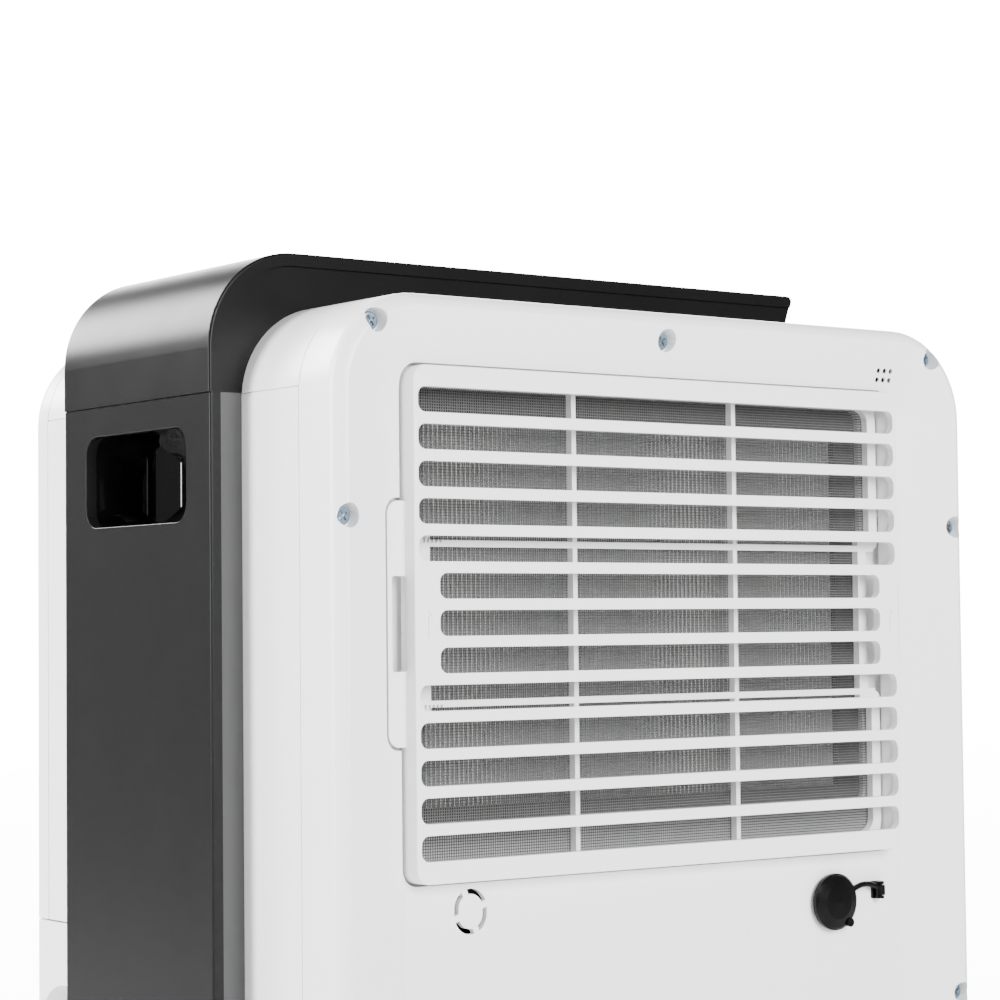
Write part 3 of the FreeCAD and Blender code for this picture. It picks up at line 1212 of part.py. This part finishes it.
def tank_front():
    shell = casing_slab(0, FRONT, TANK_REAR)
    shell = shell.makeFillet(COVER_EDGE, edges_at_y(shell, FRONT))
    above = box(-WIDTH, WIDTH, -DEPTH, DEPTH, TANK_TOP, HEIGHT + 5)
    below = box(-WIDTH, WIDTH, -DEPTH, DEPTH, 0, TANK_BOTTOM)
    shell = shell.cut(above).cut(below)
    cavity = box(CASING_LEFT + WALL, CASING_RIGHT - WALL, FRONT + WALL, TANK_REAR + 1,
                 TANK_BOTTOM + WALL, TANK_TOP + 1)
    foot = box(-WIDTH, WIDTH, -DEPTH, DEPTH, 0, CASING_BOTTOM + CASING_FOOT_CORNER)
    cavity_low = cavity.common(foot).common(casing_slab(WALL, FRONT + WALL, TANK_REAR + 1))
    shell = shell.cut(cavity.cut(foot)).cut(cavity_low)
    for sign in (-1, 1):
        shell = shell.cut(grip_scoop(sign))
    shell = shell.cut(level_slot(0, FRONT - 1, FRONT + WALL + 1))
    return shell.removeSplitter()


def level_slot(margin, y0, y1):
    """Tall narrow window that shows the water level."""
    middle = CASING_X + 0.3 * CASING_WIDTH
    low = TANK_BOTTOM + 0.18 * (TANK_TOP - TANK_BOTTOM)
    high = TANK_BOTTOM + 0.78 * (TANK_TOP - TANK_BOTTOM)
    half = LEVEL_WIDTH / 2
    return round_block(middle - half + margin, middle + half - margin, low + margin, high - margin,
                       half - margin - 0.05, y0, y1)


def bucket_limits():
    half = CASING_WIDTH / 2 - BUCKET_SIDE_ROOM
    return CASING_X - half, CASING_X + half, FRONT + WALL, BUCKET_REAR


def tank_body():
    x0, x1, y0, y1 = bucket_limits()
    z0 = TANK_BOTTOM + WALL
    bucket = box(x0, x1, y0, y1, z0, BUCKET_TOP)
    upright = [e for e in bucket.Edges if abs(e.Vertexes[0].Z - e.Vertexes[1].Z) > 1]
    bucket = bucket.makeFillet(10, upright)
    wall = BUCKET_WALL
    inside = box(x0 + wall, x1 - wall, y0 + wall, y1 - wall, z0 + wall, BUCKET_TOP + 1)
    upright = [e for e in inside.Edges if abs(e.Vertexes[0].Z - e.Vertexes[1].Z) > 1]
    inside = inside.makeFillet(10 - wall, upright)
    return bucket.cut(inside)


def float_place():
    """Pivot of the float arm: x range, y and z."""
    middle = CASING_X - 0.2 * CASING_WIDTH
    return middle - 22, middle + 22, FRONT + WALL + BUCKET_WALL + 14, BUCKET_TOP - 10


def tank_lid():
    x0, x1, y0, y1 = bucket_limits()
    plate = box(x0, x1, y0, y1, BUCKET_TOP, BUCKET_TOP + LID_THICKNESS)
    upright = [e for e in plate.Edges if abs(e.Vertexes[0].Z - e.Vertexes[1].Z) > 1]
    plate = plate.makeFillet(9, upright)
    spout_x, spout_y = spout_place()
    ax0, ax1, ay, az = float_place()
    lugs = [box(x - 2, x + 2, ay - 5, ay + 5, az - 5, BUCKET_TOP + 0.5) for x in (ax0, ax1)]
    lid = fused([plate] + lugs)
    lid = lid.cut(rod_z(LID_HOLE_RADIUS, spout_x, spout_y, BUCKET_TOP - 2, BUCKET_TOP + 5))
    return lid.cut(rod_x(FLOAT_AXLE + FIT, ax0 - 5, ax1 + 5, ay, az))


def tank_float():
    ax0, ax1, ay, az = float_place()
    axle = rod_x(FLOAT_AXLE, ax0 - 2.5, ax1 + 2.5, ay, az)
    arm = box(ax0 + 12, ax1 - 12, ay - 2, ay + FLOAT_ARM, az - 2, az + 1)
    block = box(ax0 + 4, ax1 - 4, ay + 12, ay + FLOAT_ARM + 14, az - 26, az - 1)
    block = block.makeFillet(4, block.Edges)
    return fused([axle, arm, block])


def level_window():
    plate = level_slot(0, FRONT + 0.6, FRONT + WALL)
    return plate


# ================================================================ controls
def panel_plate(margin, y0, y1):
    half = PANEL_WIDTH / 2 + margin
    return round_block(CASING_X - half, CASING_X + half, PANEL_Z - PANEL_HEIGHT / 2 - margin,
                       PANEL_Z + PANEL_HEIGHT / 2 + margin, PANEL_CORNER, y0, y1)


def button_places():
    """Button centres: two left and three right of the display, as seen from the front."""
    pitch = 0.08 * CASING_WIDTH
    near = DISPLAY_WIDTH / 2 + 0.06 * CASING_WIDTH
    return [
        CASING_X - near - pitch,
        CASING_X - near,
        CASING_X + near,
        CASING_X + near + pitch,
        CASING_X + near + 1.9 * pitch,
    ]


def control_panel():
    plate = panel_plate(0, FRONT + PANEL_RECESS, FRONT + PANEL_RECESS + PANEL_THICKNESS)
    for x in button_places():
        plate = plate.cut(rod_y(BUTTON_RADIUS + BUTTON_GAP, x, FRONT - 1, FRONT + 8, PANEL_Z))
    return plate.cut(display_plate(FRONT - 1, FRONT + PANEL_RECESS + 1.2))


def display_plate(y0, y1):
    return round_block(CASING_X - DISPLAY_WIDTH / 2, CASING_X + DISPLAY_WIDTH / 2,
                       PANEL_Z - DISPLAY_HEIGHT / 2, PANEL_Z + DISPLAY_HEIGHT / 2, 3.0, y0, y1)


def button(x):
    """Round cap with a stem that runs through the cover; pressing moves it towards +Y."""
    face = FRONT + PANEL_RECESS - BUTTON_PROUD
    seat = FRONT + PANEL_RECESS + PANEL_THICKNESS
    cap = rod_y(BUTTON_RADIUS, x, face, seat - BUTTON_TRAVEL - 0.3, PANEL_Z)
    cap = cap.makeFillet(0.4, edges_at_y(cap, face))
    stem = rod_y(BUTTON_RADIUS - 2.0, x, face + 0.5, board_y() - BUTTON_TRAVEL - 2.4, PANEL_Z)
    return fused([cap, stem])


def board_y():
    return FRONT + 14.0


def board_posts():
    x = 0.26 * CASING_WIDTH
    return [(CASING_X + sx * x, PANEL_Z + sz * (PANEL_HEIGHT / 2 - 2)) for sx in (-1, 1) for sz in (-1, 1)]


def control_board():
    """Circuit board on four posts, with one switch behind each button."""
    x = 0.28 * CASING_WIDTH
    board = box(CASING_X - x, CASING_X + x, board_y(), board_y() + 1.6,
                PANEL_Z - PANEL_HEIGHT / 2 - 2, PANEL_Z + PANEL_HEIGHT / 2 + 2)
    pieces = [board]
    for bx in button_places():
        pieces.append(box(bx - 3, bx + 3, board_y() - 2, board_y() + 0.5, PANEL_Z - 3, PANEL_Z + 3))
    for shift in (-0.2, -0.05, 0.12):
        centre = CASING_X + shift * CASING_WIDTH
        pieces.append(box(centre - 9, centre + 9, board_y() + 1, board_y() + 12, PANEL_Z - 14, PANEL_Z + 10))
    return fused(pieces)


def outlet_frame():
    """Box in the -X wall that carries the louvre blades."""
    mouth = CASING_LEFT
    flange = outlet_block(OUTLET_LIP, mouth, mouth + OUTLET_FLANGE)
    tube = outlet_block(0, mouth, mouth + OUTLET_DEPTH)
    frame = fused([flange, tube]).cut(outlet_block(-OUTLET_WALL, mouth - 1, mouth + OUTLET_DEPTH + 1))
    for z in blade_levels():
        frame = frame.cut(rod_y(BLADE_PIN_RADIUS + FIT, blade_x(), OUTLET_FRONT - 1, OUTLET_REAR + 1, z))
    return frame


def blade_x():
    return CASING_LEFT + OUTLET_DEPTH / 2


def blade_levels():
    pitch = (OUTLET_HEIGHT - 2 * OUTLET_WALL) / BLADES
    return [OUTLET_BOTTOM + OUTLET_WALL + pitch * (number + 0.5) for number in range(BLADES)]


def louvre_blade(z):
    x = blade_x()
    y0 = OUTLET_FRONT + OUTLET_WALL + FREE
    y1 = OUTLET_REAR - OUTLET_WALL - FREE
    half = OUTLET_DEPTH / 2 - 1.0
    vane = box(x - half, x + half, y0, y1, z - BLADE_THICKNESS / 2, z + BLADE_THICKNESS / 2)
    barrel = rod_y(BLADE_THICKNESS * 0.9, x, y0, y1, z)
    pin = rod_y(BLADE_PIN_RADIUS, x, OUTLET_FRONT + 0.5, OUTLET_REAR - 0.5, z)
    return fused([vane, barrel, pin])


def power_inlet():
    """Cable gland low on the rear cover."""
    seat = DISH_Y
    ring = rod_y(INLET_RADIUS, RING_X, seat, seat + 3, INLET_Z)
    ring = ring.makeFillet(1, edges_at_y(ring, seat + 3))
    neck = rod_y(INLET_RADIUS - 3, RING_X, seat - DISH_SKIN - 3, seat + 1, INLET_Z)
    gland = fused([ring, neck])
    return gland.cut(rod_y(4.0, RING_X, seat - 20, seat + 10, INLET_Z))


def humidity_sensor():
    low = GRILLE_Z + GRILLE_HEIGHT / 2 + GRILLE_GAP + POCKET_SKIRT + FREE
    y1 = REAR - DISH_DEPTH * (CASING_TOP - low - DISH_RIM) / DISH_SLOPE - DISH_SKIN
    return box(SENSOR_X - 9, SENSOR_X + 9, y1 - 6, y1, low, SENSOR_Z + 7)


def float_switch():
    x = CASING_X - 0.2 * CASING_WIDTH
    y = (BUCKET_REAR + FRONT_SEAM) / 2
    return box(x - 14, x + 14, y - 7, y + 7, DECK_BOTTOM - 5, DECK_BOTTOM)


# ================================================================ casters
def caster_places():
    x = CASING_WIDTH / 2 - CASTER_SIDE_INSET
    y = DEPTH / 2 - CASTER_END_INSET
    return [(CASING_X + sx * x, sy * y) for sy in (1, -1) for sx in (1, -1)]


def caster_fork(x, y):
    """Swivelling fork with its stem and the wheel's axle."""
    axle_y = y + CASTER_TRAIL
    inner = WHEEL_WIDTH / 2 + 0.6
    outer = inner + FORK_CHEEK
    crown = box(x - outer, x + outer, y - 6, axle_y + 5, CROWN_BOTTOM, CROWN_BOTTOM + CROWN_THICKNESS)
    stem = rod_z(STEM_RADIUS, x, y, CROWN_BOTTOM, BASE_TOP - 1.0)
    axle = rod_x(AXLE_RADIUS, x - outer + 0.2, x + outer - 0.2, axle_y, WHEEL_RADIUS)
    pieces = [crown, stem, axle]
    for sign in (-1, 1):
        x0, x1 = sorted((x + sign * inner, x + sign * outer))
        cheek = box(x0, x1, axle_y - 5, axle_y + 5, WHEEL_RADIUS, CROWN_BOTTOM + 0.5)
        tip = rod_x(5, x0, x1, axle_y, WHEEL_RADIUS)
        pieces += [cheek, tip]
    return fused(pieces)


def caster_wheel(x, y):
    axle_y = y + CASTER_TRAIL
    half = WHEEL_WIDTH / 2
    wheel = rod_x(WHEEL_RADIUS, x - half, x + half, axle_y, WHEEL_RADIUS)
    rims = [e for e in wheel.Edges if len(e.Vertexes) == 1]
    wheel = wheel.makeFillet(1.5, rims)
    return wheel.cut(rod_x(AXLE_RADIUS + FIT, x - half - 1, x + half + 1, axle_y, WHEEL_RADIUS))


# ================================================================ write all pieces
def build():
    save("rear_cover", rear_cover())
    save("rear_screws", rear_screws())
    save("cabinet", cabinet())
    save("bulkhead", bulkhead())
    save("top_shell", top_shell())
    save("base_frame", base_frame())
    save("front_cover", front_cover())
    save("ribbon_top_cover", ribbon_top_cover())
    save("ribbon_side_panel", ribbon_side_panel())
    save("side_channel", side_channel())
    save("handle_pocket_right", handle_pocket(WIDTH / 2 - RIBBON_SKIN, HANDLE_DEPTH - RIBBON_SKIN, -1))
    save("handle_pocket_left", handle_pocket(CASING_LEFT + WALL, HANDLE_DEPTH - WALL, 1))
    save("filter_grille", filter_grille())
    save("filter_frame", filter_frame())
    save("filter_mesh", filter_mesh())
    save("drain_port", drain_port())
    save("drain_plug", drain_plug())
    save("plug_anchor", plug_anchor())
    save("power_inlet", power_inlet())
    save("humidity_sensor", humidity_sensor())
    save("evaporator_fins", fin_pack(EVAPORATOR_REAR, EVAPORATOR_DEPTH, EVAPORATOR_PITCH))
    save("evaporator_tubes", serpentine(EVAPORATOR_REAR, EVAPORATOR_DEPTH))
    save("condenser_fins", fin_pack(CONDENSER_REAR, CONDENSER_DEPTH, CONDENSER_PITCH))
    save("condenser_tubes", serpentine(CONDENSER_REAR, CONDENSER_DEPTH))
    save("coil_end_plates", coil_end_plates())
    save("drip_tray", drip_tray())
    save("fan_housing", fan_housing())
    save("fan_wheel", fan_wheel())
    save("fan_motor", fan_motor())
    save("compressor", compressor())
    save("compressor_feet", compressor_feet())
    save("refrigerant_pipes", refrigerant_pipes())
    save("tank_front", tank_front())
    save("tank_grips", tank_grips())
    save("tank_body", tank_body())
    save("tank_lid", tank_lid())
    save("tank_float", tank_float())
    save("level_window", level_window())
    save("float_switch", float_switch())
    save("control_panel", control_panel())
    save("display_window", display_plate(FRONT + PANEL_RECESS + 0.2, FRONT + PANEL_RECESS + 1.2))
    save("control_board", control_board())
    for number, x in enumerate(button_places(), start=1):
        save("button_%d" % number, button(x))
    save("outlet_frame", outlet_frame())
    for number, z in enumerate(blade_levels(), start=1):
        save("louvre_blade_%d" % number, louvre_blade(z))
    for number, (x, y) in enumerate(caster_places(), start=1):
        save("caster_fork_%d" % number, caster_fork(x, y))
        save("caster_wheel_%d" % number, caster_wheel(x, y))


build()
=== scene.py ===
import math

import bpy
from mathutils import Matrix, Vector

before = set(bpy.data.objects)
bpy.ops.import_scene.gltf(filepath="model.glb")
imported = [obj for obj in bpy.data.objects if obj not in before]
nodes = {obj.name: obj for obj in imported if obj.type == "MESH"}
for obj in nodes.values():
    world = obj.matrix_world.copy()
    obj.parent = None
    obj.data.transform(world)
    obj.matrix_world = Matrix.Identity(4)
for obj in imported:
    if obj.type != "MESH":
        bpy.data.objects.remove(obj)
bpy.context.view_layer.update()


# ---------------------------------------------------------------- materials
PLASTIC_PATCHES = 35.0     # patches of uneven gloss per metre
PLASTIC_UNEVEN = 0.15      # share by which they change the roughness
METAL_PATCHES = 120.0
METAL_UNEVEN = 0.30
CLEAR_PLASTIC_IOR = 1.46
CLEAR_PLASTIC_GRAIN = 300.0
CLEAR_PLASTIC_GRAIN_DEPTH = 0.00002
MESH_PITCH = 0.0013        # from one thread of the filter mesh to the next
MESH_COVER = 0.22          # how far down from its crown each thread counts as solid, 0 to 1
THREAD_SOFTNESS = 0.1      # how far its edge takes to fade out
THREAD_HEIGHT = 0.0001


def set_input(shader, name, value):
    """Set a socket of the Principled shader where this version has it."""
    if name in shader.inputs:
        shader.inputs[name].default_value = value


def plain_material(name, colour, roughness, metallic=0.0, specular=0.5):
    """Principled material with no texture yet."""
    material = bpy.data.materials.new(name)
    material.use_nodes = True
    shader = material.node_tree.nodes["Principled BSDF"]
    set_input(shader, "Base Color", (*colour, 1.0))
    set_input(shader, "Roughness", roughness)
    set_input(shader, "Metallic", metallic)
    set_input(shader, "Specular IOR Level", specular)
    return material, shader


def object_coordinates(tree):
    """Texture coordinates in metres."""
    return tree.nodes.new("ShaderNodeTexCoord").outputs["Object"]


def add_noise(tree, scale, detail=2.0):
    """Noise whose features are about 1/scale metres across."""
    noise = tree.nodes.new("ShaderNodeTexNoise")
    noise.inputs["Scale"].default_value = scale
    noise.inputs["Detail"].default_value = detail
    tree.links.new(object_coordinates(tree), noise.inputs["Vector"])
    return noise.outputs["Fac"]


def add_range(tree, value, low, high):
    """Stretch a 0..1 value to low..high."""
    remap = tree.nodes.new("ShaderNodeMapRange")
    remap.inputs["To Min"].default_value = low
    remap.inputs["To Max"].default_value = high
    tree.links.new(value, remap.inputs["Value"])
    return remap.outputs["Result"]


def add_bump(tree, shader, height, distance, strength=1.0):
    """Bump of a real height in metres."""
    bump = tree.nodes.new("ShaderNodeBump")
    bump.inputs["Distance"].default_value = distance
    bump.inputs["Strength"].default_value = strength
    tree.links.new(height, bump.inputs["Height"])
    tree.links.new(bump.outputs["Normal"], shader.inputs["Normal"])
    return bump


def moulded_plastic(name, colour, roughness, grain=900.0, grain_depth=0.00002, **more):
    """Plastic with a fine mould grain and slightly uneven gloss."""
    material, shader = plain_material(name, colour, roughness, **more)
    tree = material.node_tree
    patches = add_noise(tree, PLASTIC_PATCHES, 3.0)
    spread = roughness * PLASTIC_UNEVEN
    uneven = add_range(tree, patches, roughness - spread, roughness + spread)
    tree.links.new(uneven, shader.inputs["Roughness"])
    add_bump(tree, shader, add_noise(tree, grain), grain_depth)
    return material


def bare_metal(name, colour, roughness, grain=500.0, grain_depth=0.00003):
    """Metal with a fine uneven surface."""
    material, shader = plain_material(name, colour, roughness, metallic=1.0)
    tree = material.node_tree
    patches = add_noise(tree, METAL_PATCHES, 4.0)
    spread = roughness * METAL_UNEVEN
    uneven = add_range(tree, patches, roughness - spread, roughness + spread)
    tree.links.new(uneven, shader.inputs["Roughness"])
    add_bump(tree, shader, add_noise(tree, grain), grain_depth)
    return material


def tinted_plastic(name, colour, roughness, transmission):
    """See-through plastic."""
    material, shader = plain_material(name, colour, roughness)
    set_input(shader, "Transmission Weight", transmission)
    set_input(shader, "IOR", CLEAR_PLASTIC_IOR)
    grain = add_noise(material.node_tree, CLEAR_PLASTIC_GRAIN)
    add_bump(material.node_tree, shader, grain, CLEAR_PLASTIC_GRAIN_DEPTH)
    return material


def thread_lines(tree, axis, pitch):
    """Rows of threads across one axis: 1 on the crown of a thread, 0 halfway between two."""
    split = tree.nodes.new("ShaderNodeSeparateXYZ")
    tree.links.new(object_coordinates(tree), split.inputs[0])
    phase = tree.nodes.new("ShaderNodeMath")
    phase.operation = "MULTIPLY"
    phase.inputs[1].default_value = 2.0 * math.pi / pitch
    tree.links.new(split.outputs[axis], phase.inputs[0])
    wave = tree.nodes.new("ShaderNodeMath")
    wave.operation = "SINE"
    tree.links.new(phase.outputs[0], wave.inputs[0])
    remap = tree.nodes.new("ShaderNodeMapRange")
    remap.inputs["From Min"].default_value = -1.0
    tree.links.new(wave.outputs[0], remap.inputs["Value"])
    return remap.outputs["Result"]


def woven_screen(name, colour, pitch, cover):
    """Open weave: threads both ways with clear holes between them."""
    material, shader = plain_material(name, colour, 0.6, specular=0.3)
    tree = material.node_tree
    larger = tree.nodes.new("ShaderNodeMath")
    larger.operation = "MAXIMUM"
    tree.links.new(thread_lines(tree, "X", pitch), larger.inputs[0])
    tree.links.new(thread_lines(tree, "Z", pitch), larger.inputs[1])
    remap = tree.nodes.new("ShaderNodeMapRange")
    remap.inputs["From Min"].default_value = 1.0 - cover
    remap.inputs["From Max"].default_value = 1.0 - cover + THREAD_SOFTNESS
    tree.links.new(larger.outputs[0], remap.inputs["Value"])
    tree.links.new(remap.outputs["Result"], shader.inputs["Alpha"])
    add_bump(tree, shader, larger.outputs[0], THREAD_HEIGHT)
    return material


WHITE = moulded_plastic("white_casing", (0.80, 0.80, 0.80), 0.30, grain_depth=0.000008)
FILTER_WHITE = moulded_plastic("filter_white", (0.80, 0.80, 0.80), 0.38, grain_depth=0.000008)
RIBBON = moulded_plastic("ribbon_dark", (0.009, 0.009, 0.0093), 0.24, grain_depth=0.000003, specular=0.10)
RIBBON_TOP = moulded_plastic(
    "ribbon_top_dark", (0.004, 0.004, 0.004), 0.32, grain_depth=0.000003, specular=0.12)
BLACK_GLOSS = moulded_plastic("black_gloss", (0.003, 0.003, 0.003), 0.05, grain_depth=0.000001)
CHANNEL_GREY = moulded_plastic("channel_grey", (0.045, 0.045, 0.046), 0.30, specular=0.3)
GREY = moulded_plastic("grey_plastic", (0.16, 0.16, 0.165), 0.50)
# Near-black matte plastic of the inner parts; on the humidity sensor it is painted shade, making the
# sensor holes in the rear cover look dark inside.
DARK_INSIDE_AND_PAINTED_SHADE = moulded_plastic("dark_inside_and_painted_shade", (0.02, 0.02, 0.021), 0.60, specular=0.2)
RUBBER = moulded_plastic(
    "black_rubber", (0.002, 0.002, 0.002), 0.25, grain=1500.0, grain_depth=0.00001, specular=0.12)
TYRE = moulded_plastic("tyre_black", (0.012, 0.012, 0.012), 0.55, grain=1500.0, grain_depth=0.00004)
SCREW = bare_metal("zinc_screw", (0.30, 0.38, 0.46), 0.30)
# Coil end plates and their sealing frame: near black as painted shade, standing in for the shaded inside
# of the unit around the coil behind the filter.
COIL_PAINTED_SHADE = moulded_plastic("coil_painted_shade", (0.004, 0.004, 0.004), 0.60, specular=0.1)
ALUMINIUM = moulded_plastic("fin_aluminium", (0.90, 0.90, 0.89), 0.45)
COPPER = bare_metal("tube_copper", (0.80, 0.42, 0.27), 0.30)
SHEET = bare_metal("galvanised_sheet", (0.55, 0.56, 0.57), 0.40)
ENAMEL = moulded_plastic("black_enamel", (0.012, 0.012, 0.012), 0.30)
BOARD = moulded_plastic("circuit_board", (0.02, 0.12, 0.05), 0.45)
TANK = tinted_plastic("frosted_tank", (0.80, 0.85, 0.88), 0.35, 0.6)
SMOKE = tinted_plastic("smoked_window", (0.35, 0.42, 0.46), 0.12, 0.7)
SCREEN = moulded_plastic("display_black", (0.01, 0.012, 0.014), 0.08, grain_depth=0.000002)
MESH = woven_screen("mesh_grey", (0.10, 0.10, 0.10), MESH_PITCH, MESH_COVER)

FINISHES = {
    "rear_cover": WHITE, "cabinet": WHITE, "top_shell": WHITE, "front_cover": WHITE, "tank_front": WHITE,
    "tank_grips": WHITE, "outlet_frame": WHITE, "handle_pocket_left": WHITE, "filter_grille": FILTER_WHITE,
    "filter_frame": FILTER_WHITE, "ribbon_top_cover": RIBBON_TOP, "ribbon_side_panel": RIBBON,
    "handle_pocket_right": BLACK_GLOSS, "control_panel": BLACK_GLOSS, "side_channel": CHANNEL_GREY,
    "base_frame": GREY, "bulkhead": DARK_INSIDE_AND_PAINTED_SHADE, "fan_wheel": DARK_INSIDE_AND_PAINTED_SHADE, "fan_housing": DARK_INSIDE_AND_PAINTED_SHADE,
    "drip_tray": DARK_INSIDE_AND_PAINTED_SHADE, "power_inlet": GREY, "rear_screws": SCREW, "drain_plug": RUBBER,
    "plug_anchor": RUBBER, "compressor_feet": TYRE, "filter_mesh": MESH, "evaporator_fins": ALUMINIUM,
    "condenser_fins": ALUMINIUM, "evaporator_tubes": COPPER, "condenser_tubes": COPPER,
    # coil_end_plates take painted shade: near black for the shaded inside of the unit around the coil.
    "refrigerant_pipes": COPPER, "coil_end_plates": COIL_PAINTED_SHADE, "fan_motor": SHEET, "compressor": ENAMEL,
    "control_board": BOARD, "display_window": SCREEN, "level_window": SMOKE, "tank_body": TANK,
    # humidity_sensor takes painted shade: near black so the sensor holes read dark.
    "tank_lid": TANK, "tank_float": FILTER_WHITE, "drain_port": WHITE, "humidity_sensor": DARK_INSIDE_AND_PAINTED_SHADE,
    "float_switch": GREY,
}


def finish_of(name):
    """Finish of a node by its name."""
    if name in FINISHES:
        return FINISHES[name]
    if name.startswith("caster"):
        return TYRE
    return FILTER_WHITE


for name, node in nodes.items():
    for slot in node.material_slots:
        slot.material = finish_of(name)


# ---------------------------------------------------------------- stage, light, camera
FLOOR_SIZE = 14.0
FLOOR_PALE = (0.90, 0.90, 0.90)
FLOOR_ROUGHNESS = 0.18
FLOOR_COAT_ROUGHNESS = 0.08
FLOOR_COAT_IOR = 1.8
FLOOR_WAVES = 6.0          # features per metre
FLOOR_WAVE_DEPTH = 0.0001


def add_floor():
    """Plain pale lacquered floor."""
    bpy.ops.mesh.primitive_plane_add(size=FLOOR_SIZE, location=(0.0, 0.0, 0.0))
    floor = bpy.context.object
    floor.name = "floor"
    material, shader = plain_material("floor_pale", FLOOR_PALE, FLOOR_ROUGHNESS)
    set_input(shader, "Coat Weight", 1.0)
    set_input(shader, "Coat Roughness", FLOOR_COAT_ROUGHNESS)
    set_input(shader, "Coat IOR", FLOOR_COAT_IOR)
    waves = add_noise(material.node_tree, FLOOR_WAVES)
    add_bump(material.node_tree, shader, waves, FLOOR_WAVE_DEPTH)
    floor.data.materials.append(material)


def add_panel(name, place, target, width, height, power):
    """Rectangular soft light that faces a point."""
    light = bpy.data.lights.new(name, "AREA")
    light.shape = "RECTANGLE"
    light.size = width
    light.size_y = height
    light.energy = power
    lamp = bpy.data.objects.new(name, light)
    bpy.context.scene.collection.objects.link(lamp)
    lamp.location = place
    direction = Vector(target) - Vector(place)
    lamp.rotation_euler = direction.to_track_quat("-Z", "Y").to_euler()
    return lamp


def add_world():
    """Studio surroundings: a brightly lit backdrop on one side, softer white all round."""
    world = bpy.data.worlds.new("studio")
    bpy.context.scene.world = world
    world.use_nodes = True
    tree = world.node_tree
    back = tree.nodes["Background"]
    back.inputs["Color"].default_value = (1.0, 1.0, 1.0, 1.0)
    place = tree.nodes.new("ShaderNodeTexCoord")
    towards = tree.nodes.new("ShaderNodeVectorMath")
    towards.operation = "DOT_PRODUCT"
    towards.inputs[1].default_value = BACKDROP_SIDE
    tree.links.new(place.outputs["Generated"], towards.inputs[0])
    remap = tree.nodes.new("ShaderNodeMapRange")
    remap.interpolation_type = "SMOOTHSTEP"
    remap.inputs["From Min"].default_value = BACKDROP_EDGE
    remap.inputs["From Max"].default_value = BACKDROP_FULL
    remap.inputs["To Min"].default_value = ROOM_LIGHT
    remap.inputs["To Max"].default_value = BACKDROP_LIGHT
    tree.links.new(towards.outputs["Value"], remap.inputs["Value"])
    tree.links.new(remap.outputs["Result"], back.inputs["Strength"])


BACKDROP_SIDE = (-0.62, -0.78, 0.0)
BACKDROP_EDGE = 0.84       # cosine of the angle from BACKDROP_SIDE where the backdrop begins
BACKDROP_FULL = 0.955      # and where it is fully bright
BACKDROP_LIGHT = 17.0
ROOM_LIGHT = 0.4

PANELS = {
    # name: place, the point it faces, width, height, watts
    "rear_light": ((0.2, 3.0, 1.4), (0.0, 0.1, 0.35), 1.5, 1.6, 250.0),
    "side_light": ((2.7, -0.9, 1.3), (0.1, 0.0, 0.40), 0.8, 2.0, 210.0),
    "front_light": ((1.2, -2.3, 1.9), (0.2, 0.0, 0.55), 1.5, 1.2, 210.0),
}

CAMERA_PLACE = Vector((0.8465, 1.1343, 0.4404))
CAMERA_YAW = math.radians(37.02)
CAMERA_PITCH = math.radians(2.673)
CAMERA_ROLL = math.radians(0.579)
CAMERA_LENS = 99.28


def add_camera():
    """Camera at the height of the filter's middle, looking up a little and rolled half a degree."""
    forward = Vector((
        -math.sin(CAMERA_YAW) * math.cos(CAMERA_PITCH),
        -math.cos(CAMERA_YAW) * math.cos(CAMERA_PITCH),
        math.sin(CAMERA_PITCH),
    ))
    level_right = Vector((-math.cos(CAMERA_YAW), math.sin(CAMERA_YAW), 0.0))
    level_up = level_right.cross(forward)
    right = level_right * math.cos(CAMERA_ROLL) - level_up * math.sin(CAMERA_ROLL)
    up = right.cross(forward)
    data = bpy.data.cameras.new("camera")
    data.lens = CAMERA_LENS
    data.sensor_width = 36.0
    camera = bpy.data.objects.new("camera", data)
    bpy.context.scene.collection.objects.link(camera)
    turn = Matrix((right, up, -forward)).transposed()
    camera.matrix_world = Matrix.Translation(CAMERA_PLACE) @ turn.to_4x4()
    bpy.context.scene.camera = camera


add_floor()
add_world()
for name, (place, target, width, height, power) in PANELS.items():
    add_panel(name, place, target, width, height, power)
add_camera()
